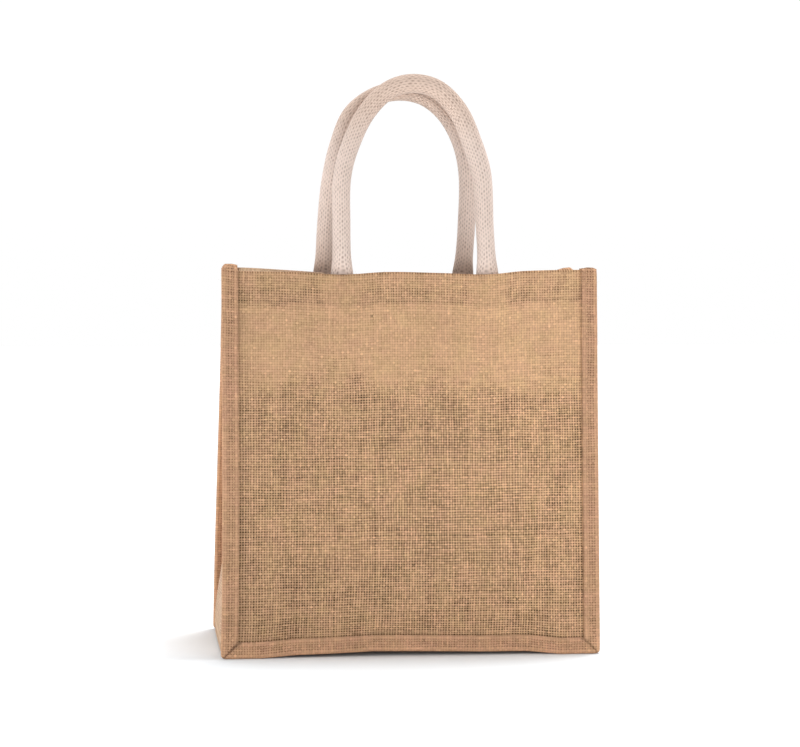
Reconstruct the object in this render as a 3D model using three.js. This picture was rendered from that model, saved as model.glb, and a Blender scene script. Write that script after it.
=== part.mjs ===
// A jute tote bag that stands open and empty. It has a front and a back panel, one gusset strip that makes
// both sides and the bottom, a folded binding over the raw edges of each outside seam, and two handles of
// rolled cotton webbing. Millimetres, +Z up, +X to the right, the front towards -Y. The origin is on the
// surface, below the middle of the bag's box. The bag is worked out around its bottom's middle, and moved
// by CENTRE_X at the end, because it leans.
import * as THREE from 'three';

// Cloth and gaps
const CLOTH = 1.2;
const BINDING_CLOTH = 1.5;
const GAP = 0.3;
const LAYER = CLOTH + GAP;

// The bag
const HALF_OUTLINE = 150;
const FLANGE = 13.2;
const SEAM_HALF_WIDTH = HALF_OUTLINE - FLANGE;
const RAW_EDGE = 3.1;
const RIM = 303;
const HEM = 24.5;
const HALF_DEPTH = 90;
const TOP_LEAN = 40;
const CENTRE_X = 2.15;
const LEAN_POWER = 1.4;

// How far the bindings stand above the rim before their ends close
const BINDING_RISE = 2;

// The seam's bottom corner, nearly square
const CORNER_RADIUS = 3;
const CORNER_SQUARENESS = 14;
const CORNER_ANGLES = [22.5, 45, 67.5];

// The front and back hang a little differently. Sizes in millimetres: belly is the lower middle's swell,
// pull is how far the rim's middle is drawn in, bow_in is how far the bottom edge moves inwards, and tabs
// are the places of the handle's ends. The sides table has the flange's two outer edges by height, and the
// rim table the rim's height.
const FACES = {
  front: {
    sign: -1, belly: 4, belly_height: 105, pull: 4, bow_in: 6, tabs: [-53.8, 62.9], top_ends: [3.6, 0.8],
    sides: [
      { v: 0, left: -150.4, right: 150.5 }, { v: 60, left: -149.1, right: 150.7 },
      { v: 138, left: -148.4, right: 151.4 }, { v: 220, left: -148.1, right: 152.7 },
      { v: 303, left: -147.7, right: 154.5 },
    ],
    rim: [
      { u: -150, z: 303.6 }, { u: -134, z: 302.2 }, { u: -92, z: 301.4 }, { u: -54, z: 299.4 },
      { u: -18, z: 301.5 }, { u: 26, z: 300.6 }, { u: 63, z: 299.6 }, { u: 92, z: 302.3 },
      { u: 134, z: 303.2 }, { u: 150, z: 302.6 },
    ],
  },
  back: {
    sign: 1, belly: 3, belly_height: 120, pull: 3, bow_in: 4, tabs: [-64.1, 54.1], top_ends: [1.8, 1.6],
    sides: [
      { v: 0, left: -149.8, right: 150 }, { v: 60, left: -148.6, right: 150.2 },
      { v: 138, left: -146.5, right: 150.4 }, { v: 220, left: -144.3, right: 150.6 },
      { v: 303, left: -142.9, right: 151 },
    ],
    rim: [
      { u: -150, z: 305.8 }, { u: -130, z: 305.2 }, { u: -92, z: 303.8 }, { u: -62, z: 301.8 },
      { u: -35, z: 302 }, { u: 15, z: 300.9 }, { u: 54, z: 298.6 }, { u: 88, z: 298.6 },
      { u: 134, z: 301.3 }, { u: 150, z: 302.4 },
    ],
  },
};

// The bottom edge of each face from side to side. It stands on the surface near the corners and lifts
// between them.
const BOTTOM_EDGE = [
  { u: -133.8, front: 0, back: 0 }, { u: -118, front: 0, back: 0 }, { u: -92, front: 1.7, back: 1.2 },
  { u: -62, front: 2.4, back: 2.3 }, { u: -30, front: 3.5, back: 2.9 }, { u: 0, front: 3.2, back: 3.1 },
  { u: 30, front: 2.7, back: 3.2 }, { u: 62, front: 2.2, back: 2.4 }, { u: 92, front: 2.2, back: 1.4 },
  { u: 118, front: 0, back: 0 }, { u: 133.8, front: 0, back: 0 },
];

// How a face's changes spread or fade, in millimetres: the belly's spread up and down, the height where
// the rim's pull starts, how soon the bottom edge's lift and its bow inwards die away above the binding,
// and the depth behind the face at which the lift starts to fade and has gone
const BELLY_SPREAD = 75;
const PULL_START = 200;
const LIFT_FADE = 20;
const BOW_FADE = 26;
const MOST_LIFT = 3.4;
const LIFT_DEPTH = { full: 5, none: 18 };

// Soft unevenness of the panels: waves across (u) and up (v), with their depth. They start above the
// bottom seam.
const WAVE_HEIGHT = { none: 14, full: 70 };
const WAVES = [
  { across: 210, up: 330, depth: 0.9, start: 0.6 },
  { across: 128, up: 190, depth: 0.6, start: 2.1 },
  { across: 76, up: 260, depth: 0.35, start: 4.0 },
];

// The gusset's side walls: near the floor they swell out past the seam, and upwards they fold in along the
// middle
const SIDE_WALL = [
  { v: 0, swell: 14.2, fold: 0 },
  { v: 30, swell: 13.8, fold: 1.2 },
  { v: 70, swell: 11.5, fold: 11 },
  { v: 120, swell: 9, fold: 29 },
  { v: 180, swell: 7, fold: 47 },
  { v: 245, swell: 4, fold: 62 },
  { v: 303, swell: 3, fold: 70 },
];
const BASE_SWELL = 11.6;
const BASE_TURN = 20;
const SWELL_POWER = 5;
const SWELL_FLAT = 1.12;
const FOLD_SOFTNESS = 0.09;

// The gusset's section: from its raw edge in the flange to the turn into the wall, with the depth behind
// the flange's middle layer, and then the wall's places as shares of the way from front to back
const FLANGE_TURN = [
  { q: FLANGE - RAW_EDGE, depth: 0 }, { q: 5.5, depth: 0 }, { q: 0.1, depth: 0 }, { q: -1.1, depth: 0.7 },
];
const WALL_DEPTH = 2.6;
const WALL_INSET = 1.6;
const WALL_PLACES = [0, 0.05, 0.12, 0.24, 0.38, 0.5];
const FLANGE_THICKENS = { from: RIM - HEM - 15, to: RIM - HEM - 2 };

// The binding's section, from its inner edge to the middle of its outer turn: shares of the flat, the turn
// and the half thickness. Its ends are pinched as they close.
const BINDING_EDGE = 0.4;
const BINDING_TURN = 1.55;
const BINDING_CLOSED = 0.2;
const BINDING_PINCH = 1.2;
const BINDING_CLOSING = [1, 0.55];
const BINDING_SECTION = [
  { flat: 0, turn: 0, half: 1 }, { flat: 0.5, turn: 0, half: 1 }, { flat: 1, turn: 0, half: 1 },
  { flat: 1, turn: 0.66, half: 0.88 }, { flat: 1, turn: 1, half: 0.55 },
];

// The handles: a flattened end sewn into the hem, a straight leg, then the arch. The two arches lean
// together. The panel swells over a sewn end: bulge is how far, within ramp beside it and fade below the
// hem.
const TAB = {
  width: 18.4, thickness: 2.4, squareness: 4, ramp: 9.5, room: 1.2, bulge: 1.1, fade: 20, flat_top: 12,
};
const POCKET_ROOM = 0.15;
const HEM_BEHIND_TAB = CLOTH / 2 + LAYER + TAB.thickness + GAP + POCKET_ROOM;
const POCKET_DEPTH = CLOTH + GAP + TAB.thickness / 2;
const TAB_INSIDE_DEPTH = 2 * HEM_BEHIND_TAB - POCKET_DEPTH;
const TAB_LOW = RIM - HEM - 0.2;
const HEM_MIDDLE = 291;
const TAB_HEIGHTS = { top: RIM - 4, middle: HEM_MIDDLE, bottom: TAB_LOW + 4, inside: TAB_LOW + 11 };
const TAB_TURN = [0, 45, 90, 135, 180];
const ROOT = { depth: TAB_INSIDE_DEPTH + 0.6, low: RIM - 3, high: RIM + 2.4 };
const HANDLE_SIDES = 12;
const HANDLE_STEPS = 40;
const STEP_CROWDING = 0.055;
const HANDLE_ROUTES = {
  front: [
    { x: -50.4, y: -31.5, z: 339 }, { x: -48.8, y: -21.5, z: 380 }, { x: -41.2, y: -14, z: 406 },
    { x: -27.6, y: -9.3, z: 432.6 }, { x: -10, y: -8.2, z: 450 }, { x: 9, y: -8.1, z: 455.7 },
    { x: 29, y: -8.1, z: 451.3 }, { x: 46.5, y: -8.8, z: 434 }, { x: 58, y: -14, z: 406.5 },
    { x: 64.6, y: -20.5, z: 382 }, { x: 65.7, y: -31.5, z: 339 },
  ],
  back: [
    { x: -58.2, y: 31.5, z: 339 }, { x: -55, y: 21.5, z: 378 }, { x: -48.8, y: 14, z: 407 },
    { x: -38.6, y: 9.2, z: 431.3 }, { x: -20.5, y: 8.2, z: 445.4 }, { x: 0, y: 8.1, z: 450.4 },
    { x: 20.5, y: 8.1, z: 446.8 }, { x: 38, y: 8.8, z: 434 }, { x: 51.5, y: 13, z: 413 },
    { x: 58.6, y: 20, z: 388 }, { x: 59, y: 31.5, z: 340 },
  ],
};
// Width across the arch and thickness along Y, by the share of the way from one rim to the other
const HANDLE_SECTION = [
  { at: 0, width: 18.4, thickness: 2.4, squareness: 4 },
  { at: 0.014, width: 18, thickness: 2.6, squareness: 3.6 },
  { at: 0.028, width: 16.8, thickness: 7, squareness: 2.8 },
  { at: 0.05, width: 15, thickness: 12.4, squareness: 2.3 },
  { at: 0.085, width: 14.4, thickness: 14, squareness: 2.2 },
  { at: 0.3, width: 14.8, thickness: 14.4, squareness: 2.1 },
  { at: 0.5, width: 15.5, thickness: 14.8, squareness: 2.1 },
  { at: 0.7, width: 16.6, thickness: 14.8, squareness: 2.1 },
  { at: 0.82, width: 15, thickness: 14.2, squareness: 2.1 },
  { at: 0.915, width: 14.4, thickness: 14, squareness: 2.2 },
  { at: 0.95, width: 15, thickness: 12.4, squareness: 2.3 },
  { at: 0.972, width: 16.8, thickness: 7, squareness: 2.8 },
  { at: 0.986, width: 18, thickness: 2.6, squareness: 3.6 },
  { at: 1, width: 18.4, thickness: 2.4, squareness: 4 },
];

// Where the cloth is divided
const HEIGHTS = [32, 62, 98, 136, 175, 212, 243, 262, 270, 278, HEM_MIDDLE, RIM];
const LOW_HEIGHTS = [8, FLANGE, 21];
const BOTTOM_COLUMNS = BOTTOM_EDGE.map((column) => column.u);
const TAB_COLUMNS = [-20, -15, -10.4, 0, 10.4, 15, 20];
const COLUMN_SPACE = 3;
const EDGE_COLUMNS = [140, 144.5, 146, SEAM_HALF_WIDTH + FLANGE - RAW_EDGE];
const HEM_TURN = [0, 60, 120, 180];
const HEM_HEIGHTS = [HEM_MIDDLE, RIM - HEM];
const FACE_REACH = 3;

const radians = THREE.MathUtils.degToRad;
const mix = THREE.MathUtils.lerp;
const ramp = THREE.MathUtils.smoothstep;

// The value of one column of a table at x along another, on a smooth curve through the rows
function read(table, key, column, x) {
  const last = table.length - 1;
  let i = 0;
  while (i < last - 1 && x > table[i + 1][key]) i += 1;
  const [a, b] = [table[i], table[i + 1]];
  const before = table[Math.max(i - 1, 0)];
  const after = table[Math.min(i + 2, last)];
  const span = b[key] - a[key];
  const t = THREE.MathUtils.clamp((x - a[key]) / span, 0, 1);
  const slope = (from, to) => (to[column] - from[column]) / (to[key] - from[key]);
  const slopeA = i > 0 ? slope(before, b) : slope(a, b);
  const slopeB = i + 1 < last ? slope(a, after) : slope(a, b);
  const [t2, t3] = [t * t, t * t * t];
  return (2 * t3 - 3 * t2 + 1) * a[column] + (t3 - 2 * t2 + t) * span * slopeA
    + (3 * t2 - 2 * t3) * b[column] + (t3 - t2) * span * slopeB;
}

// 1 between the seams' middle and 0 at the seams
function inPanel(u) {
  const share = Math.min(Math.abs(u) / SEAM_HALF_WIDTH, 1);
  return Math.cos((share * Math.PI) / 2) ** 2;
}

// The bottom edge's lift at u, straight from column to column so that all the layers there agree
function bottomLift(side, u) {
  const i = BOTTOM_EDGE.findIndex((column) => column.u >= u);
  if (i < 1) return 0;
  const [a, b] = [BOTTOM_EDGE[i - 1], BOTTOM_EDGE[i]];
  return mix(a[side], b[side], (u - a.u) / (b.u - a.u));
}

// 1 over a handle's sewn end and 0 away from it
function overTab(face, u) {
  const plateau = TAB.width / 2 + TAB.room;
  return Math.max(...face.tabs.map((tab) => 1 - ramp(Math.abs(u - tab), plateau, plateau + TAB.ramp)));
}

// The outer face of the front or back panel: the point of the standing bag at u across and v up the flat
// cloth
function onFace(side, u, v) {
  const face = FACES[side];
  const up = Math.max(v, 0) / RIM;
  const aboveBinding = Math.max(v - FLANGE, 0);
  const middle = inPanel(u);
  let swell = face.belly * middle * Math.exp(-(((v - face.belly_height) / BELLY_SPREAD) ** 2));
  const wavy = ramp(v, WAVE_HEIGHT.none, WAVE_HEIGHT.full);
  for (const wave of WAVES) {
    const phase = wave.start + face.sign;
    const across = Math.sin((u / wave.across) * 2 * Math.PI + phase);
    swell += wave.depth * middle * wavy * across * Math.cos((v / wave.up) * 2 * Math.PI + phase);
  }
  const overHem = ramp(v, RIM - HEM - TAB.fade, RIM - HEM) * (1 - ramp(v, RIM - TAB.flat_top, RIM));
  swell += TAB.bulge * overTab(face, u) * overHem;
  const lift = bottomLift(side, u);
  const bow = (face.bow_in * lift) / MOST_LIFT;
  const drawnIn = TOP_LEAN * up ** LEAN_POWER + face.pull * middle * ramp(v, PULL_START, RIM);
  const height = read(face.rim, 'u', 'z', THREE.MathUtils.clamp(u, -HALF_OUTLINE, HALF_OUTLINE));
  return {
    x: mix(read(face.sides, 'v', 'left', v), read(face.sides, 'v', 'right', v), u / HALF_OUTLINE / 2 + 0.5),
    y: face.sign * (HALF_DEPTH - drawnIn - bow * Math.exp(-aboveBinding / BOW_FADE) + swell),
    z: v + (height - RIM) * ramp(v, RIM / 2, RIM),
    lift: lift * Math.exp(-aboveBinding / LIFT_FADE),
  };
}

// The point at depth mm behind a panel's outer face. With at, the face is read there and the rest is added
// to it.
function place(side, u, v, depth, at = { u, v }) {
  const near = onFace(side, at.u, at.v);
  const far = onFace(side === 'front' ? 'back' : 'front', at.u, at.v);
  const share = depth / Math.abs(far.y - near.y);
  const lift = near.lift * (1 - ramp(depth, LIFT_DEPTH.full, LIFT_DEPTH.none));
  return new THREE.Vector3(
    mix(near.x, far.x, share) + (u - at.u),
    mix(near.y, far.y, share),
    mix(near.z, far.z, share) + lift + (v - at.v),
  );
}

// A closed sheet of cloth from rows of points on its two sides
function thickSheet(rows) {
  const across = rows[0].length;
  const positions = [];
  for (const side of ['a', 'b']) {
    for (const row of rows) {
      for (const point of row) positions.push(...point[side].toArray());
    }
  }
  const onA = (j, i) => j * across + i;
  const onB = (j, i) => (rows.length + j) * across + i;
  const faces = [];
  const quad = (p, q, r, s) => faces.push(p, q, r, p, r, s);
  for (let j = 0; j < rows.length - 1; j += 1) {
    for (let i = 0; i < across - 1; i += 1) {
      quad(onA(j, i), onA(j, i + 1), onA(j + 1, i + 1), onA(j + 1, i));
      quad(onB(j, i), onB(j + 1, i), onB(j + 1, i + 1), onB(j, i + 1));
    }
    quad(onA(j, 0), onA(j + 1, 0), onB(j + 1, 0), onB(j, 0));
    const end = across - 1;
    quad(onA(j, end), onB(j, end), onB(j + 1, end), onA(j + 1, end));
  }
  const last = rows.length - 1;
  for (let i = 0; i < across - 1; i += 1) {
    quad(onA(0, i), onB(0, i), onB(0, i + 1), onA(0, i + 1));
    quad(onA(last, i), onA(last, i + 1), onB(last, i + 1), onB(last, i));
  }
  return closedGeometry(positions, faces);
}

// A closed tube from rings of points, capped at both ends
function closedTube(rings) {
  const sides = rings[0].length;
  const positions = rings.flat().flatMap((point) => point.toArray());
  const faces = [];
  for (let j = 0; j < rings.length - 1; j += 1) {
    for (let i = 0; i < sides; i += 1) {
      const next = (i + 1) % sides;
      const [p, q] = [j * sides + i, j * sides + next];
      faces.push(p, q, q + sides, p, q + sides, p + sides);
    }
  }
  const top = (rings.length - 1) * sides;
  for (let i = 1; i < sides - 1; i += 1) {
    faces.push(0, i + 1, i);
    faces.push(top, top + i, top + i + 1);
  }
  return closedGeometry(positions, faces);
}

// An indexed geometry, with its faces turned outwards if they point in
function closedGeometry(positions, faces) {
  const point = (i) => new THREE.Vector3().fromArray(positions, 3 * i);
  let volume = 0;
  for (let f = 0; f < faces.length; f += 3) {
    volume += point(faces[f]).dot(point(faces[f + 1]).cross(point(faces[f + 2]))) / 6;
  }
  if (volume < 0) faces.reverse();
  const geometry = new THREE.BufferGeometry();
  geometry.setAttribute('position', new THREE.Float32BufferAttribute(positions, 3));
  geometry.setIndex(faces);
  geometry.computeVertexNormals();
  return geometry;
}

// The way out of the bag at an angle of the seam's bottom corner, 0 at the side and 90 at the bottom
function cornerWay(angle) {
  const [c, s] = [Math.cos(radians(angle)), Math.sin(radians(angle))];
  const size = (c ** CORNER_SQUARENESS + s ** CORNER_SQUARENESS) ** (1 / CORNER_SQUARENESS);
  return [c / size, s / size];
}

// Stations along the seam, down the left side, across the bottom and up the right side. Each has its place
// on the flat face and the way out of the bag there.
function seamStations(heights) {
  const inner = SEAM_HALF_WIDTH - CORNER_RADIUS;
  const turn = FLANGE + CORNER_RADIUS;
  const left = heights.map((v) => ({ u: -SEAM_HALF_WIDTH, v, out_u: -1, out_v: 0 }));
  left.push({ u: -SEAM_HALF_WIDTH, v: turn, out_u: -1, out_v: 0 });
  for (const angle of CORNER_ANGLES) {
    const [across, down] = cornerWay(angle);
    left.push({
      u: -inner - CORNER_RADIUS * across, v: turn - CORNER_RADIUS * down, out_u: -across, out_v: -down,
    });
  }
  const bottom = BOTTOM_COLUMNS.map((u) => ({ u, v: FLANGE, out_u: 0, out_v: -1 }));
  const right = left.map((station) => ({ ...station, u: -station.u, out_u: -station.out_u })).reverse();
  return [...left, ...bottom, ...right];
}

// The depth of the gusset's middle in the seam's flange. The hems of panel and gusset make the flange
// thicker on top.
function gussetDepth(v) {
  return 1.5 * CLOTH + GAP + 2 * LAYER * ramp(v, FLANGE_THICKENS.from, FLANGE_THICKENS.to);
}

// Half of the gusset's section at one station, from its raw edge in the flange to the middle of the wall:
// q is the way out of the bag from the seam, and depth is behind the panel's face, whose opposite is span
// away.
function gussetHalf(station, span) {
  const flangeDepth = gussetDepth(station.v);
  const wallStart = flangeDepth + WALL_DEPTH;
  const inBase = ramp(SEAM_HALF_WIDTH - Math.abs(station.u), 0, BASE_TURN);
  const swell = mix(read(SIDE_WALL, 'v', 'swell', station.v), BASE_SWELL, inBase);
  const fold = station.out_v === 0 ? read(SIDE_WALL, 'v', 'fold', station.v) : 0;
  const points = FLANGE_TURN.map(({ q, depth }) => ({ q, depth: flangeDepth + depth }));
  const foldEnd = Math.hypot(1, FOLD_SOFTNESS);
  for (const share of WALL_PLACES) {
    const fromMiddle = Math.abs(2 * share - 1);
    const swollen = Math.min(1, SWELL_FLAT * (1 - fromMiddle ** SWELL_POWER));
    const folded = (foldEnd - Math.hypot(fromMiddle, FOLD_SOFTNESS)) / (foldEnd - FOLD_SOFTNESS);
    points.push({
      q: -WALL_INSET + swell * swollen - fold * folded,
      depth: wallStart + (span - 2 * wallStart) * share,
    });
  }
  return points;
}

// The points of a section with a unit normal at each, which points out of the bag
function withNormals(line) {
  return line.map((point, i) => {
    const before = line[Math.max(i - 1, 0)];
    const after = line[Math.min(i + 1, line.length - 1)];
    const length = Math.hypot(after.q - before.q, after.depth - before.depth);
    return {
      ...point,
      normal_q: (after.depth - before.depth) / length,
      normal_depth: -(after.q - before.q) / length,
    };
  });
}

// The gusset's whole section at one station
function gussetSection(station) {
  const span = onFace('back', station.u, station.v).y - onFace('front', station.u, station.v).y;
  const half = gussetHalf(station, span);
  const mirrored = half.slice(0, -1).map(({ q, depth }) => ({ q, depth: span - depth })).reverse();
  return withNormals([...half, ...mirrored]).map((point) => ({ ...point, span }));
}

// A point of the gusset, offset from its section's middle: out of the bag and up
function gussetPoint(station, point, outwards, upwards) {
  const q = point.q + point.normal_q * outwards;
  const depth = point.depth + point.normal_depth * outwards;
  const onFlange = THREE.MathUtils.clamp(q, -FACE_REACH, FLANGE);
  const at = { u: station.u + station.out_u * onFlange, v: station.v + station.out_v * onFlange };
  const u = station.u + station.out_u * q;
  const v = station.v + station.out_v * q;
  const front = depth <= point.span / 2;
  const placed = place(front ? 'front' : 'back', u, v, front ? depth : point.span - depth, at);
  placed.z += upwards;
  return placed;
}

// The gusset, hemmed at both ends: each end goes up to the rim, turns over it and comes down inside
function gusset() {
  const outside = seamStations([...HEIGHTS].reverse()).map((station) => ({ station, turn: 0 }));
  const hem = (station) => [
    ...HEM_TURN.slice(1, -1).map((turn) => ({ station, turn })),
    ...[RIM, ...HEM_HEIGHTS].map((v) => ({ station: { ...station, v }, turn: 180 })),
  ];
  const start = hem(outside[0].station).reverse();
  const end = hem(outside.at(-1).station);
  const rows = [...start, ...outside, ...end].map(({ station, turn }) => {
    const [c, s] = [Math.cos(radians(turn)), Math.sin(radians(turn))];
    const half = LAYER / 2;
    return gussetSection(station).map((point) => ({
      a: gussetPoint(station, point, -half * (1 - c) + (c * CLOTH) / 2, s * (half + CLOTH / 2)),
      b: gussetPoint(station, point, -half * (1 - c) - (c * CLOTH) / 2, s * (half - CLOTH / 2)),
    }));
  });
  return thickSheet(rows);
}

// The height of a panel's bottom edge, which follows the seam's corner
function panelBottom(u) {
  const inner = SEAM_HALF_WIDTH - CORNER_RADIUS;
  const reach = FLANGE - RAW_EDGE + CORNER_RADIUS;
  const along = THREE.MathUtils.clamp((Math.abs(u) - inner) / reach, 0, 1);
  const down = (1 - along ** CORNER_SQUARENESS) ** (1 / CORNER_SQUARENESS);
  return FLANGE + CORNER_RADIUS - reach * down;
}

// A panel with its top edge turned in as a hem, which opens into a pocket over each of the handle's sewn
// ends
function panel(side) {
  const face = FACES[side];
  const apart = (u) => BOTTOM_COLUMNS.every((column) => Math.abs(u - column) > COLUMN_SPACE);
  const columns = [
    ...EDGE_COLUMNS.map((u) => -u),
    ...BOTTOM_COLUMNS,
    ...face.tabs.flatMap((tab) => TAB_COLUMNS.map((u) => tab + u)).filter(apart),
    ...EDGE_COLUMNS,
  ].sort((a, b) => a - b);
  const rows = columns.map((u) => {
    const inset = mix(LAYER, HEM_BEHIND_TAB - CLOTH / 2, overTab(face, u));
    const steps = [
      { v: panelBottom(u), turn: 0 },
      ...LOW_HEIGHTS.map((v) => ({ v: Math.max(v, panelBottom(u) + v / 40), turn: 0 })),
      ...HEIGHTS.slice(0, -1).map((v) => ({ v, turn: 0 })),
      ...HEM_TURN.map((turn) => ({ v: RIM, turn })),
      ...HEM_HEIGHTS.map((v) => ({ v, turn: 180 })),
    ];
    return steps.map(({ v, turn }) => {
      const [c, s] = [Math.cos(radians(turn)), Math.sin(radians(turn))];
      const depth = CLOTH / 2 + (inset / 2) * (1 - c);
      const rise = (s * LAYER) / 2;
      const half = CLOTH / 2;
      return {
        a: place(side, u, v + rise + s * half, depth - c * half),
        b: place(side, u, v + rise - s * half, depth + c * half),
      };
    });
  });
  return thickSheet(rows);
}

// The binding: one strip folded over the flange's raw edges all the way round, and pressed together at its
// top ends
function binding(side) {
  const wall = BINDING_CLOTH / 2;
  const [leftTop, rightTop] = FACES[side].top_ends;
  const heights = [RIM + BINDING_RISE, ...[...HEIGHTS].reverse()];
  const stations = seamStations(heights);
  const closing = (station, top) => BINDING_CLOSING.map((share) => ({
    ...station, v: RIM + BINDING_RISE + top * share, closed: share,
  }));
  const left = closing(stations[0], leftTop);
  const right = closing(stations.at(-1), rightTop).reverse();
  const rows = [...left, ...stations, ...right].map((station) => {
    const closed = station.closed ?? 0;
    const front = -GAP - wall;
    const back = gussetDepth(station.v) + CLOTH / 2 + GAP + wall;
    const centre = (front + back) / 2;
    const reach = mix((back - front) / 2, wall + BINDING_CLOSED, closed);
    const edge = Math.min(BINDING_TURN, reach);
    const outer = FLANGE - wall - edge - BINDING_PINCH * closed;
    const half = BINDING_SECTION.map((point) => ({
      q: mix(BINDING_EDGE, outer, point.flat) + edge * point.turn, depth: centre - reach * point.half,
    }));
    const mirrored = half.map(({ q, depth }) => ({ q, depth: 2 * centre - depth })).reverse();
    return withNormals([...half, ...mirrored]).map((point) => {
      const at = (offset) => place(
        side,
        station.u + station.out_u * (point.q + point.normal_q * offset),
        station.v + station.out_v * (point.q + point.normal_q * offset),
        point.depth + point.normal_depth * offset,
      );
      return { a: at(wall), b: at(-wall) };
    });
  });
  return thickSheet(rows);
}

// The outline of a handle's section, with its places across the width (w) and through the thickness (t)
function sectionRing({ width, thickness, squareness }) {
  const ring = [];
  for (let i = 0; i < HANDLE_SIDES; i += 1) {
    const angle = ((i + 0.5) / HANDLE_SIDES) * 2 * Math.PI;
    const [c, s] = [Math.cos(angle), Math.sin(angle)];
    ring.push({
      w: (Math.sign(c) * Math.abs(c) ** (2 / squareness) * width) / 2,
      t: (Math.sign(s) * Math.abs(s) ** (2 / squareness) * thickness) / 2,
    });
  }
  return ring;
}

// The sewn end of a handle: from the hem's pocket down round the hem's raw edge and up along its inside
function tabRings(side, tab, inwards) {
  const radius = HEM_BEHIND_TAB - POCKET_DEPTH;
  const steps = [
    { v: TAB_HEIGHTS.top, depth: POCKET_DEPTH, turn: 0 },
    { v: TAB_HEIGHTS.middle, depth: POCKET_DEPTH, turn: 0 },
    { v: TAB_HEIGHTS.bottom, depth: POCKET_DEPTH, turn: 0 },
    ...TAB_TURN.map((turn) => ({
      v: TAB_LOW - radius * Math.sin(radians(turn)),
      depth: HEM_BEHIND_TAB - radius * Math.cos(radians(turn)),
      turn,
    })),
    { v: TAB_HEIGHTS.inside, depth: TAB_INSIDE_DEPTH, turn: 180 },
  ];
  return steps.map(({ v, depth, turn }) => {
    const [c, s] = [Math.cos(radians(turn)), Math.sin(radians(turn))];
    return sectionRing(TAB).map(({ w, t }) => place(side, tab + inwards * w, v - t * s, depth - t * c));
  });
}

// A handle: both sewn ends and the rolled webbing between them
function handle(side) {
  const { sign, tabs: [left, right] } = FACES[side];
  const root = (tab) => [place(side, tab, ROOT.low, ROOT.depth), place(side, tab, ROOT.high, ROOT.depth)];
  const route = HANDLE_ROUTES[side].map(({ x, y, z }) => new THREE.Vector3(x, y, z));
  const points = [...root(left), ...route, ...root(right).reverse()];
  const curve = new THREE.CatmullRomCurve3(points, false, 'centripetal');
  const rings = [];
  for (let i = 0; i <= HANDLE_STEPS; i += 1) {
    const even = i / HANDLE_STEPS;
    const at = even - STEP_CROWDING * Math.sin(2 * Math.PI * even);
    const centre = curve.getPointAt(at);
    const along = curve.getTangentAt(at);
    const across = new THREE.Vector3().crossVectors(along, new THREE.Vector3(0, -1, 0)).normalize();
    const through = new THREE.Vector3(0, -sign, 0).addScaledVector(along, sign * along.y).normalize();
    const ring = sectionRing({
      width: read(HANDLE_SECTION, 'at', 'width', at),
      thickness: read(HANDLE_SECTION, 'at', 'thickness', at),
      squareness: read(HANDLE_SECTION, 'at', 'squareness', at),
    });
    rings.push(ring.map(({ w, t }) => centre.clone().addScaledVector(across, w).addScaledVector(through, t)));
  }
  return closedTube([...tabRings(side, left, 1), ...rings, ...tabRings(side, right, -1).reverse()]);
}

const jute = new THREE.MeshStandardMaterial({ color: 0xc59a6b, roughness: 0.95, metalness: 0 });
const bindingJute = new THREE.MeshStandardMaterial({ color: 0xb98d62, roughness: 0.95, metalness: 0 });
const webbing = new THREE.MeshStandardMaterial({ color: 0xe6d6c6, roughness: 0.9, metalness: 0 });

function piece(name, geometry, material) {
  const mesh = new THREE.Mesh(geometry, material);
  mesh.name = name;
  return mesh;
}

const bag = new THREE.Group();
bag.add(piece('gusset', gusset(), jute));
for (const side of ['front', 'back']) {
  bag.add(piece(`${side}_panel`, panel(side), jute));
  bag.add(piece(`${side}_binding`, binding(side), bindingJute));
  bag.add(piece(`${side}_handle`, handle(side), webbing));
}

bag.position.x = -CENTRE_X;

export default bag;
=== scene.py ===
# %% [markdown]
# # A jute tote bag, sewn from flat pieces
# The bag is made as a maker sews it: a front and a back panel, one long gusset strip for the sides and the
# bottom, a folded binding over each outside seam, and two handles of rolled cotton webbing. Each cloth
# piece is a flat grid whose points are carried to their place on the standing bag, so the weave can follow
# the cloth everywhere.

# %% Load the frame
import bpy
import math
import random
from functools import partial
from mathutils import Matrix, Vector, noise


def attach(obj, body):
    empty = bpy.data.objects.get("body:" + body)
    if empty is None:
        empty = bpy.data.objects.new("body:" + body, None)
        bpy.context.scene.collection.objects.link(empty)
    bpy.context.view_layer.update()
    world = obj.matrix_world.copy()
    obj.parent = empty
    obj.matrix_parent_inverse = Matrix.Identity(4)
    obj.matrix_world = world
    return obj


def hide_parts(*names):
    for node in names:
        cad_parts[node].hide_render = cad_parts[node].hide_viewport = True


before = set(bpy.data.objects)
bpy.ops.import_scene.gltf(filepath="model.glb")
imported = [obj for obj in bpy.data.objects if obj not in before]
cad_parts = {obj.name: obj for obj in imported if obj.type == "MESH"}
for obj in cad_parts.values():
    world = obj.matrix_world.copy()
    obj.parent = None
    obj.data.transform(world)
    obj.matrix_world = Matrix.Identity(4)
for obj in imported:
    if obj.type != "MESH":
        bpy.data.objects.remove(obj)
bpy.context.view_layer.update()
print("nodes to dress:", sorted(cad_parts))

# %% [markdown]
# ## Camera
# The camera comes first. It stands about 2.2 m in front of the bag, a little to its left and a little above
# its middle, and looks through a long lens, which keeps the upright edges nearly parallel.

# %% Camera
MM = 0.001
CENTRE_X = 2.15
LENS = 121.5
SENSOR_WIDTH = 36
SEES_TO = 100
CAMERA_PLACE = (-234.4, -2195.7, 308.3)
CAMERA_TURN = (90 - 2.3, 0, -6.1)

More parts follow.
